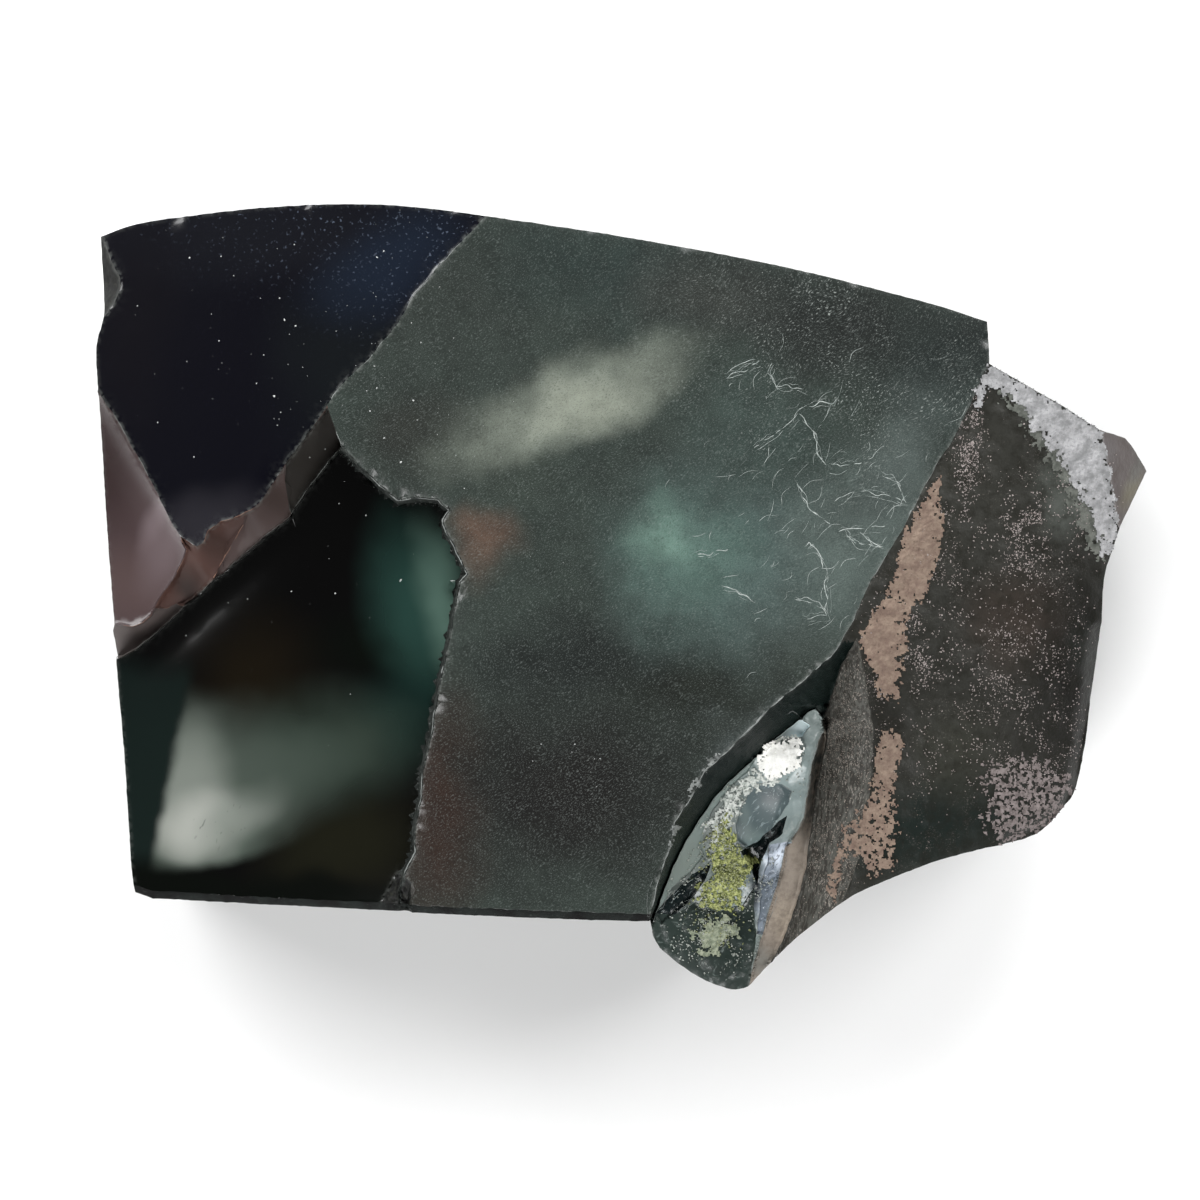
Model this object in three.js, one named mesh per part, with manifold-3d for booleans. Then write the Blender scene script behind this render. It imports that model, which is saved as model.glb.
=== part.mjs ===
// Rough glass chunk: one broken piece of a thick cake of dark bottle-green glass.
// The back wall is the curved outer wall of the cake. All other faces are fractures or the cake's own skin.
// It lies on the flat cast underside of the cake. Millimetres, +X right, +Y towards the curved wall, +Z up.
import * as THREE from "three";
import { mergeVertices } from "three/addons/utils/BufferGeometryUtils.js";
import Module from "manifold-3d";

const wasm = await Module();
wasm.setup();

// Driving dimensions
const CAKE_THICKNESS = 57;
const ABOVE_ALL = 75;
const RIM_STEP = 4;
const WALL_LIP_DROP = 0.5;
const FOLD_DROP = 0.3;
const FRONT_BEVEL = { width: 1.3, drop: 1.5 };
const FLANK_BEVEL = { width: 2.2, drop: 2.4 };
const CUT_OVERLAP = 0.04;
const WELD_DISTANCE = 1e-4;
// How finely each face is divided, and into how many steps the long slopes are
const CELL = {
  top: 12,
  dusk: 9,
  scoop: 3,
  ledge: 3,
  basin: 4,
  skin: 3,
  hollow: 2.2,
  tip: 3,
  chip: 1.5,
};
const STEPS = { wall: 24, ridge: 20, fold: 26 };
const BALL_DETAIL = { scar: 7, nick: 2 };
const GLASS_COLOUR = 0x1d2422;
const GLASS_ROUGHNESS = 0.22;

// The rim in plan, one side at a time, anticlockwise as seen from above.
// foot is the share of the way out from the middle that the underside keeps below that side.
// waist is the height at which the wall starts to run inwards.
const RIM_SIDES = [
  {
    name: "curved cast wall",
    round: true,
    foot: 0.97,
    waist: 20,
    points: [
      [64.5, 49.4],
      [53.2, 53.0],
      [28.0, 59.3],
      [-0.8, 64.7],
      [-24.8, 68.3],
      [-38.0, 70.1],
      [-51.2, 70.7],
      [-65.6, 70.1],
      [-76.4, 69.0],
      [-87.4, 67.5],
      [-94.2, 65.2],
    ],
  },
  {
    name: "left break",
    round: true,
    foot: 0.94,
    waist: 22,
    points: [
      [-94.2, 65.2],
      [-93.9, 56.0],
      [-93.5, 51.0],
      [-94.8, 44.9],
      [-94.2, 34.0],
      [-93.4, 17.9],
      [-92.4, 3.5],
      [-91.7, -4.4],
    ],
  },
  {
    name: "left break below the ledge",
    round: false,
    foot: 0.95,
    waist: 18,
    points: [
      [-91.7, -4.4],
      [-92.2, -5.6],
      [-91.6, -10.2],
      [-91.2, -18.1],
      [-90.1, -34.0],
      [-89.2, -48.5],
      [-88.6, -53.0],
    ],
  },
  {
    name: "front break",
    round: false,
    foot: 0.93,
    waist: 24,
    points: [
      [-88.6, -53.0],
      [-85.4, -54.1],
      [-65.6, -55.0],
      [-39.5, -55.9],
      [-18.8, -56.8],
      [-4.4, -57.3],
      [4.6, -57.5],
    ],
  },
  {
    name: "snout",
    round: true,
    foot: 0.8,
    waist: 17,
    points: [
      [4.6, -57.5],
      [5.8, -62.2],
      [9.1, -65.6],
      [13.0, -68.3],
      [16.4, -70.0],
      [20.0, -70.9],
      [22.5, -70.3],
    ],
  },
  {
    name: "hollow front fracture",
    round: true,
    foot: 0.85,
    waist: 24,
    points: [
      [22.5, -70.3],
      [27.1, -65.4],
      [31.6, -60.9],
      [37.0, -56.4],
      [42.4, -52.8],
      [49.6, -49.8],
      [56.8, -47.2],
      [64.0, -45.4],
      [70.2, -44.2],
    ],
  },
  {
    name: "right flank",
    round: true,
    foot: 0.88,
    waist: 20,
    points: [
      [70.2, -44.2],
      [73.6, -43.3],
      [76.6, -41.7],
      [80.2, -38.0],
      [82.5, -34.4],
      [84.2, -25.3],
      [84.9, -18.1],
      [86.3, -6.0],
      [86.7, 3.5],
      [88.0, 8.4],
    ],
  },
  {
    name: "pointed corner",
    round: false,
    foot: 0.84,
    waist: 19,
    points: [
      [88.0, 8.4],
      [89.5, 13.0],
      [92.2, 18.3],
      [94.8, 23.3],
      [92.1, 27.3],
      [90.4, 29.1],
      [85.2, 30.5],
    ],
  },
  {
    name: "skin edge",
    round: false,
    foot: 0.88,
    waist: 24,
    points: [
      [85.2, 30.5],
      [78.4, 34.6],
      [69.4, 39.5],
      [64.9, 42.0],
      [64.8, 45.8],
      [64.5, 49.4],
    ],
  },
];

// Stretches of the rim whose edge is bevelled
const RIM_EDGE = {
  frontBasin: [
    [-88.6, -53.0],
    [-85.4, -54.1],
    [-65.6, -55.0],
    [-41.0, -55.9],
  ],
  frontTop: [
    [-40.0, -55.9],
    [-18.8, -56.8],
    [4.6, -57.5],
  ],
  flank: [
    [70.2, -44.2],
    [76.6, -41.7],
    [80.2, -38.0],
    [82.5, -34.4],
    [84.9, -18.1],
    [86.3, -6.0],
  ],
};

// Lines where one face of the chunk meets the next, in plan
const RIDGE_TOP = [-24.8, 68.3];
const THREE_FACES_MEET = [-53.0, 34.6];
const LEDGE_MEETS_STEP = [-50.5, 27.3];
const DUSK_POINT = [-79.3, 11.2];
const LEDGE_END = [-91.7, -4.4];
const NOTCH_CORNER = [64.9, 42.0];
const CLEFT_TOP = [38.6, -7.6];
const CLEFT_TOP_RIGHT = [41.1, -7.5];
const HOLLOW_TOP = [35.7, -21.7];
const LIP_END = [4.0, -58.6];
const FOOT_END = [4.7, -59.4];

const RIDGE = [
  RIDGE_TOP,
  [-33.2, 59.3],
  [-37.7, 53.9],
  [-40.4, 49.4],
  [-46.2, 42.2],
  [-49.4, 39.5],
  [-51.6, 36.8],
  THREE_FACES_MEET,
];
const DUSK_LIP = [
  THREE_FACES_MEET,
  [-57.3, 28.5],
  [-60.0, 24.9],
  [-62.7, 20.8],
  [-64.9, 17.6],
  [-66.7, 15.9],
  [-69.8, 14.7],
  [-72.3, 13.8],
  [-74.4, 12.3],
  [-75.1, 10.2],
  [-76.4, 9.4],
  DUSK_POINT,
];
const SCOOP_CREST = [
  DUSK_POINT,
  [-81.3, 14.3],
  [-85.4, 22.6],
  [-91.0, 32.3],
  [-94.2, 37.0],
  [-99.0, 44.0],
];
const SCOOP_FLOOR_EDGE = [
  DUSK_POINT,
  [-78.3, 9.0],
  [-78.8, 7.3],
  [-80.9, 3.7],
  [-83.6, -0.1],
  [-85.0, -2.8],
  [-86.6, -4.2],
  [-88.6, -4.8],
  LEDGE_END,
  [-100.0, -4.2],
];
const BASIN_CREST = [
  [-100.0, -10.5],
  [-90.6, -10.3],
  [-87.4, -8.4],
  [-84.3, -6.0],
  [-78.0, -0.4],
  [-71.4, 5.3],
  [-65.6, 10.4],
  [-60.0, 14.8],
  [-56.6, 20.0],
  [-52.3, 25.5],
  LEDGE_MEETS_STEP,
];
const CHIPPED_STEP = [
  LEDGE_MEETS_STEP,
  [-47.4, 23.8],
  [-43.5, 20.1],
  [-40.6, 17.7],
  [-36.8, 18.1],
  [-33.4, 17.7],
  [-31.4, 15.8],
  [-32.5, 14.3],
  [-31.9, 11.8],
  [-30.5, 9.4],
  [-28.2, 4.6],
  [-29.6, 3.0],
  [-30.3, -1.3],
  [-31.9, -9.1],
  [-33.4, -16.8],
  [-34.6, -24.0],
  [-36.1, -30.9],
  [-36.4, -35.2],
  [-37.7, -41.9],
  [-37.4, -45.0],
  [-39.3, -48.6],
  [-40.2, -52.5],
  [-40.4, -62.0],
];
const SKIN_CREST = [
  NOTCH_CORNER,
  [63.1, 38.4],
  [61.3, 34.3],
  [58.2, 28.2],
  [55.4, 24.0],
  [52.3, 18.1],
  [49.9, 13.2],
  [44.5, 4.4],
  [42.2, 0.1],
  [40.9, -3.3],
  CLEFT_TOP,
];
const TOP_LIP = [
  CLEFT_TOP,
  [36.3, -10.5],
  [31.4, -14.7],
  [26.0, -19.2],
  [22.1, -23.1],
  [18.1, -27.3],
  [14.1, -30.5],
  [12.7, -33.8],
  [11.2, -36.3],
  [8.9, -39.7],
  [8.2, -44.0],
  [7.1, -46.5],
  [5.7, -51.2],
  LIP_END,
];
const WALL_FOOT = [
  HOLLOW_TOP,
  [34.4, -19.7],
  [33.0, -20.4],
  [27.6, -24.8],
  [22.8, -29.4],
  [19.9, -31.9],
  [17.0, -34.8],
  [13.4, -40.0],
  [11.2, -43.3],
  [8.5, -49.0],
  [6.4, -54.4],
  FOOT_END,
];
const HOLLOW_RIDGE = [
  HOLLOW_TOP,
  [35.9, -23.1],
  [34.8, -25.8],
  [33.8, -29.8],
  [32.7, -36.6],
  [32.3, -39.5],
  [31.2, -41.9],
  [29.2, -44.7],
  [28.0, -50.5],
  [26.0, -57.1],
  [24.2, -63.5],
  [22.5, -70.3],
  [22.0, -76.0],
];
// The gully that opens below the top face, and the crevice that it runs into, with their heights
const GULLY = [
  [...CLEFT_TOP_RIGHT, 55.0],
  [38.8, -11.6, 51.0],
  [37.0, -17.4, 46.5],
  [...HOLLOW_TOP, 42.5],
];
const CREVICE = [
  [...HOLLOW_TOP, 42.5],
  [36.5, -25.3, 40.0],
  [35.6, -29.8, 38.6],
  [34.6, -34.3, 37.8],
  [34.0, -38.8, 37.4],
  [33.3, -44.7, 37.2],
  [33.0, -48.3, 36.8],
  [31.4, -54.4, 35.6],
  [29.4, -60.4, 34.4],
  [25.8, -67.4, 33.2],
  [24.6, -76.0, 32.4],
];
const SKIN_FOLD = [
  [41.7, -7.0],
  [43.0, -14.5],
  [44.6, -23.5],
  [44.4, -32.5],
  [43.4, -41.5],
  [41.6, -49.0],
  [39.2, -54.8],
  [37.0, -62.0],
];
const TIP_CREST = [
  [84.8, 34.0],
  [85.4, 30.0],
  [86.5, 26.0],
  [87.8, 19.7],
  [89.0, 13.6],
  [92.0, 8.0],
];
// Small faces where a corner or an edge has broken away
const LEFT_CHIP = [
  [-94.2, 65.2],
  [-93.0, 62.9],
  [-92.2, 60.8],
  [-90.5, 57.9],
  [-90.5, 55.7],
  [-91.7, 53.0],
  [-93.7, 50.3],
  [-95.4, 47.5],
];
const FOOT_CHIP = [
  [-38.0, -50.6],
  [-40.6, -49.0],
  [-43.9, -55.0],
  [-44.4, -60.0],
];

// Shell-shaped scars of blows: a ball's middle, its radius, and how it is stretched along X, Y and Z
const SCARS_BELOW = [
  { at: [-60, -108, -2], radius: 62, stretch: [1.05, 1, 0.55] },
  { at: [-14, -107, 4], radius: 60, stretch: [0.6, 1, 0.5] },
  { at: [-34, -116.5, 34], radius: 62, stretch: [0.9, 1, 0.42] },
  { at: [-140, -26, 4], radius: 56, stretch: [1, 0.7, 0.6] },
  { at: [-148.5, 36, 27], radius: 60, stretch: [1, 0.8, 0.4] },
  { at: [-104, 8, 0], radius: 19, stretch: [1, 1.6, 0.9] },
  { at: [142, -22, 17], radius: 62, stretch: [1, 0.7, 0.5] },
  { at: [88, 62, 10], radius: 34, stretch: [1, 1, 1] },
  { at: [14, -92, -4], radius: 30, stretch: [1, 1, 1] },
  { at: [-70, 90, -4], radius: 26, stretch: [1.7, 1, 0.8] },
  { at: [20, 80.5, -6], radius: 24, stretch: [1.3, 1, 0.9] },
];
// Nicks along the edges of the top face, each as a place on the edge and a width.
// A nick's ball stands a quarter of its width above the face.
const NICK_LIFT = 0.25;
const NICKS = [
  [-81.0, 68.6, 3.4],
  [-57.0, 70.9, 1.8],
  [-31.0, 69.6, 2.2],
  [-6.0, 65.9, 1.6],
  [11.0, 62.9, 2.0],
  [41.0, 56.4, 1.7],
  [65.1, 45.9, 2.3],
  [34.0, -12.4, 2.6],
  [24.2, -21.0, 2.4],
  [16.2, -29.0, 2.6],
  [9.9, -38.2, 2.8],
  [6.2, -49.6, 2.0],
  [-30.2, 1.2, 2.6],
  [-33.6, -18.6, 2.2],
  [-37.2, -39.6, 2.6],
  [-44.6, 21.2, 2.4],
];

// Signed distance of a point from the straight line a to b, positive on its right
function beyond(a, b, x, y) {
  const along = new THREE.Vector2(b[0] - a[0], b[1] - a[1]).normalize();
  return (x - a[0]) * along.y - (y - a[1]) * along.x;
}

// Distance to a line of points, and the height there where its points have one
function nearest(line, x, y) {
  let best = { distance: Infinity, height: 0 };
  for (let i = 0; i + 1 < line.length; i++) {
    const [ax, ay, az = 0] = line[i];
    const [bx, by, bz = 0] = line[i + 1];
    const span = (bx - ax) ** 2 + (by - ay) ** 2;
    const t = THREE.MathUtils.clamp(
      ((x - ax) * (bx - ax) + (y - ay) * (by - ay)) / span,
      0,
      1,
    );
    const distance = Math.hypot(x - ax - t * (bx - ax), y - ay - t * (by - ay));
    if (distance < best.distance)
      best = { distance, height: az + t * (bz - az) };
  }
  return best;
}

// Low swells that a slowly cooled skin has
function swell(x, y, length, height) {
  const a = Math.sin(x / length + 1.3 * Math.sin(y / (1.7 * length)));
  const b = Math.cos(y / (1.2 * length) - 0.9 * Math.sin(x / (2.1 * length)));
  return height * a * b;
}

// The faces, each as a height over the resting plane

// The wide scuffed face: the flat top of the cake, a little crowned
const TOP = { riseX: 0.015, riseY: 0.02, crownX: 10, crownSpan: 9000 };
function topFace(x, y) {
  const crown = ((x - TOP.crownX) ** 2 + y ** 2) / TOP.crownSpan;
  return CAKE_THICKNESS + TOP.riseX * x + TOP.riseY * y - crown;
}

// The dark corner face, which falls away from the ridge
const DUSK_SLOPE = 0.17;
function duskFace(x, y) {
  return topFace(x, y) - DUSK_SLOPE * beyond(RIDGE_TOP, THREE_FACES_MEET, x, y);
}

// The mauve scoop at the left: steep at its crest and flatter below
const SCOOP = { depth: 8.5, reach: 8, crestEnd: [-94.2, 37.0] };
function scoopFace(x, y) {
  const away = Math.max(0, -beyond(DUSK_POINT, SCOOP.crestEnd, x, y));
  return duskFace(x, y) - SCOOP.depth * (1 - Math.exp(-away / SCOOP.reach));
}

// The broken edge of the dark layer, which steps down to the basin
const LEDGE = { drop: 0.6, slope: 0.6 };
function ledgeFace(x, y) {
  const edge = Math.min(
    nearest(DUSK_LIP, x, y).distance,
    nearest(SCOOP_FLOOR_EDGE, x, y).distance,
  );
  return scoopFace(x, y) - LEDGE.drop - LEDGE.slope * edge;
}

// The glossy basin: a trough beside its crest, which falls away towards the left
const BASIN = { x: -62, y: -4, low: 45, turn: 0.734, fall: 6, reach: 28, shift: 8 };
const BASIN_BEND = { steep: 0.019, gentle: 0.0035 };
function basinFace(x, y) {
  const along = new THREE.Vector2(Math.cos(BASIN.turn), Math.sin(BASIN.turn));
  const dx = x - BASIN.x;
  const dy = y - BASIN.y;
  const v = dx * along.x + dy * along.y;
  const u = dx * along.y - dy * along.x;
  const bend = u < 0 ? BASIN_BEND.steep : BASIN_BEND.gentle;
  const fall = Math.tanh((v + BASIN.shift) / BASIN.reach) - Math.tanh(BASIN.shift / BASIN.reach);
  return BASIN.low + BASIN.fall * fall + bend * u * u;
}

// The weathered skin, which is lumpy, falls away to the right and rolls over towards the hollow
const SKIN = { step: 0.5, slope: 0.3, bend: 0.0045 };
const SKIN_LUMPS = { wide: [5.5, 0.55], narrow: [2.9, 0.2] };
const SHOULDER = {
  line: [
    [45, -32],
    [38, -60],
  ],
  drop: 5,
  reach: 22,
};
function skinFace(x, y) {
  const away = Math.max(0, -beyond(NOTCH_CORNER, CLEFT_TOP, x, y));
  const fall = SKIN.step + SKIN.slope * away + SKIN.bend * away * away;
  const near = Math.max(0, 1 - nearest(SHOULDER.line, x, y).distance / SHOULDER.reach);
  const lumps = swell(x, y, ...SKIN_LUMPS.wide) + swell(y, x, ...SKIN_LUMPS.narrow);
  return topFace(x, y) - fall - SHOULDER.drop * near * near + lumps;
}

// The floor of the hollow: a valley that runs down to the snout, with a shell-shaped flake scar in it
const VALLEY = { top: [34.5, -20.5], bottom: [16, -69], height: 44, fall: 0.25 };
const VALLEY_SIDES = { left: 0.1, right: 0.38 };
const VALLEY_LUMPS = [2.6, 0.3];
const FLAKE = { x: 24.4, y: -38.3, depth: 2.2, reach: 5 };
const LUMP = { x: 28.4, y: -28.4, height: 1.4, reach: 3.2 };
function hollowFace(x, y) {
  const across = beyond(VALLEY.top, VALLEY.bottom, x, y);
  const side = across > 0 ? VALLEY_SIDES.left * across : -VALLEY_SIDES.right * across;
  const flake = FLAKE.depth * mound(x, y, FLAKE);
  const lump = LUMP.height * mound(x, y, LUMP);
  const floor = VALLEY.height + VALLEY.fall * (y - VALLEY.top[1]);
  return floor + side - flake + lump + swell(x, y, ...VALLEY_LUMPS);
}

// A soft round bump, 1 at its middle
function mound(x, y, { x: midX, y: midY, reach }) {
  return Math.exp(-((x - midX) ** 2 + (y - midY) ** 2) / reach ** 2);
}

// A chipped corner or edge: steep away from the line where it starts
const CHIP = { step: 0.4, slope: 1.3 };
const chipFace = (base, line) => (x, y) =>
  base(x, y) - CHIP.step - CHIP.slope * nearest(line, x, y).distance;

// The translucent tip beyond the skin
const TIP = { step: 0.5, slope: 0.85 };
function tipFace(x, y) {
  return skinFace(x, y) - TIP.step - TIP.slope * nearest(TIP_CREST, x, y).distance;
}

// A geometry as a solid, with the vertices that its faces share merged
function solid(geometry) {
  const bare = geometry.clone();
  bare.deleteAttribute("normal");
  bare.deleteAttribute("uv");
  const merged = mergeVertices(bare, WELD_DISTANCE);
  return new wasm.Manifold(
    new wasm.Mesh({
      numProp: 3,
      vertProperties: Float32Array.from(merged.attributes.position.array),
      triVerts: Uint32Array.from(merged.index.array),
    }),
  );
}

// A column over an outline in plan
function column(outline) {
  const shape = new THREE.Shape(outline.map(([x, y]) => new THREE.Vector2(x, y)));
  const height = 2 * ABOVE_ALL;
  const geometry = new THREE.ExtrudeGeometry(shape, { depth: height, bevelEnabled: false });
  return solid(geometry.translate(0, 0, -ABOVE_ALL / 2));
}

// All that is above a face, over the box that its outline fills and a little more
const BOX_MARGIN = 2;
const LID_HEIGHT = ABOVE_ALL + 10;
function above(outline, face, cell) {
  const box = new THREE.Box2().setFromPoints(
    outline.map(([x, y]) => new THREE.Vector2(x, y)),
  );
  box.expandByScalar(BOX_MARGIN);
  const size = box.getSize(new THREE.Vector2());
  const middle = box.getCenter(new THREE.Vector2());
  const across = Math.ceil(size.x / cell);
  const deep = Math.ceil(size.y / cell);
  const geometry = new THREE.BoxGeometry(size.x, size.y, ABOVE_ALL, across, deep, 1);
  const at = geometry.attributes.position;
  for (let i = 0; i < at.count; i++) {
    const x = at.getX(i) + middle.x;
    const y = at.getY(i) + middle.y;
    at.setXYZ(i, x, y, at.getZ(i) < 0 ? face(x, y) : LID_HEIGHT);
  }
  return solid(geometry);
}

// An outline grown a little, so that two cuts that share a line leave no skin between them
function grown(outline) {
  const turn = Math.sign(THREE.ShapeUtils.area(outline.map(([x, y]) => ({ x, y }))));
  return outline.map(([x, y], i) => {
    const before = outline.at(i - 1);
    const after = outline[(i + 1) % outline.length];
    const along = new THREE.Vector2(after[0] - before[0], after[1] - before[1]).normalize();
    return [x + turn * along.y * CUT_OVERLAP, y - turn * along.x * CUT_OVERLAP];
  });
}

// Breaks off what stands over a face inside an outline
function breakDown(body, outline, face, cell) {
  return body.subtract(above(outline, face, cell).intersect(column(grown(outline))));
}

// A line of points with heights from a face, or its own heights, evenly spaced again
function spaced(line, count, face) {
  const path = new THREE.CurvePath();
  const corners = line.map(([x, y, z = 0]) => new THREE.Vector3(x, y, z));
  for (let i = 0; i + 1 < corners.length; i++)
    path.add(new THREE.LineCurve3(corners[i], corners[i + 1]));
  const points = path.getSpacedPoints(count);
  if (face) for (const p of points) p.z = face(p.x, p.y);
  return points;
}

// A line moved sideways in plan, to its left where the amount is positive
function beside(line, amount) {
  return line.map(([x, y, ...z], i) => {
    const before = line[Math.max(i - 1, 0)];
    const after = line[Math.min(i + 1, line.length - 1)];
    const along = new THREE.Vector2(after[0] - before[0], after[1] - before[1]).normalize();
    return [x - along.y * amount, y + along.x * amount, ...z];
  });
}

// Cuts the body back to the surface of straight lines between two lines with heights
function slope(body, one, other) {
  const count = one.length;
  const high = (p) => new THREE.Vector3(p.x, p.y, LID_HEIGHT);
  const rows = [one, other, other.map(high), one.map(high)];
  const index = [];
  for (let row = 0; row < rows.length; row++)
    for (let i = 0; i + 1 < count; i++) {
      const a = row * count + i;
      const b = ((row + 1) % rows.length) * count + i;
      index.push(a, a + 1, b + 1, a, b + 1, b);
    }
  const [a, b, c, d] = rows.map((row, i) => i * count);
  index.push(a, b, c, a, c, d);
  const last = count - 1;
  index.push(a + last, c + last, b + last, a + last, d + last, c + last);
  const inward = new THREE.Vector3().subVectors(other[1], one[0]);
  const along = new THREE.Vector3().subVectors(one[1], one[0]);
  if (along.x * inward.y - along.y * inward.x > 0) index.reverse();
  const geometry = new THREE.BufferGeometry().setFromPoints(rows.flat());
  geometry.setIndex(index);
  return body.subtract(solid(geometry));
}

// Bevels an edge of the rim that was rubbed off. The cut runs a little past the rim.
const BEVEL_RUN_OUT = 0.6;
const BEVEL_STEPS_A_POINT = 1.5;
function bevel(body, edge, base, { width, drop }) {
  const count = Math.round(edge.length * BEVEL_STEPS_A_POINT);
  const inner = spaced(beside(edge, width), count, base);
  const outer = spaced(beside(edge, -BEVEL_RUN_OUT), count, (x, y) => base(x, y) - drop);
  return slope(body, inner, outer);
}

// Strikes off a shell-shaped flake: a ball that bites into the body
function strike(body, { at, radius, stretch = [1, 1, 1] }, detail) {
  const ball = new THREE.IcosahedronGeometry(radius, detail);
  ball.scale(...stretch).translate(...at);
  return body.subtract(solid(ball));
}

// The largest body, without splinters that stay behind where two cuts meet
function withoutSplinters(body) {
  return body.decompose().reduce((a, b) => (a.volume() > b.volume() ? a : b));
}

// A solid as an indexed geometry
function asGeometry(made) {
  const mesh = made.getMesh();
  const geometry = new THREE.BufferGeometry();
  geometry.setAttribute("position", new THREE.BufferAttribute(mesh.vertProperties, 3));
  geometry.setIndex(new THREE.BufferAttribute(mesh.triVerts, 1));
  return geometry;
}

// The rim as evenly spaced points, each with the foot and waist of its side
function rimPoints() {
  const ring = [];
  for (const side of RIM_SIDES) {
    const corners = side.points.map(([x, y]) => new THREE.Vector2(x, y));
    const curve = side.round ? new THREE.SplineCurve(corners) : new THREE.CurvePath();
    if (!side.round)
      for (let i = 0; i + 1 < corners.length; i++)
        curve.add(new THREE.LineCurve(corners[i], corners[i + 1]));
    const count = Math.max(2, Math.round(curve.getLength() / RIM_STEP));
    const run = side.round ? curve.getSpacedPoints(count) : straightPoints(corners);
    for (const p of run.slice(0, -1))
      ring.push({ x: p.x, y: p.y, foot: side.foot, waist: side.waist });
  }
  return ring;
}

// A run of straight edges with points added so that none is longer than the rim step
function straightPoints(corners) {
  const points = [];
  for (let i = 0; i + 1 < corners.length; i++) {
    const parts = Math.max(1, Math.round(corners[i].distanceTo(corners[i + 1]) / RIM_STEP));
    for (let k = 0; k < parts; k++)
      points.push(corners[i].clone().lerp(corners[i + 1], k / parts));
  }
  return [...points, corners.at(-1)];
}

// Evens out how the foot and the waist change from one side to the next
function softened(ring, key, passes) {
  let values = ring.map((p) => p[key]);
  for (let pass = 0; pass < passes; pass++)
    values = values.map(
      (v, i) => (values.at(i - 1) + 2 * v + values[(i + 1) % values.length]) / 4,
    );
  return values;
}

// The block before its upper faces broke off: upright walls down to the waist, then inwards to the foot.
// The profile gives, up from the foot, the share of the waist's height and of the way inwards.
const PROFILE = [
  { up: 0, inwards: 1 },
  { up: 0.22, inwards: 0.55 },
  { up: 0.62, inwards: 0.15 },
  { up: 1, inwards: 0 },
];
const SOFTENING = 6;
function roughBlock() {
  const ring = rimPoints();
  const foot = softened(ring, "foot", SOFTENING);
  const waist = softened(ring, "waist", SOFTENING);
  const inward = (p, i, share) => {
    const scale = 1 - (1 - foot[i]) * share;
    return [p.x * scale, p.y * scale];
  };
  const levels = [
    ...PROFILE.map(({ up, inwards }) =>
      ring.map((p, i) => [...inward(p, i, inwards), up * waist[i]]),
    ),
    ring.map((p) => [p.x, p.y, ABOVE_ALL]),
  ];
  const count = ring.length;
  const index = [];
  for (let level = 0; level + 1 < levels.length; level++)
    for (let i = 0; i < count; i++) {
      const a = level * count + i;
      const b = level * count + ((i + 1) % count);
      index.push(a, b, b + count, a, b + count, a + count);
    }
  const plan = (level) => levels[level].map(([x, y]) => new THREE.Vector2(x, y));
  const top = (levels.length - 1) * count;
  for (const [a, b, c] of THREE.ShapeUtils.triangulateShape(plan(0), [])) index.push(a, c, b);
  for (const [a, b, c] of THREE.ShapeUtils.triangulateShape(plan(levels.length - 1), []))
    index.push(top + a, top + b, top + c);
  const geometry = new THREE.BufferGeometry();
  geometry.setAttribute("position", new THREE.Float32BufferAttribute(levels.flat(2), 3));
  geometry.setIndex(index);
  return solid(geometry);
}

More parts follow.
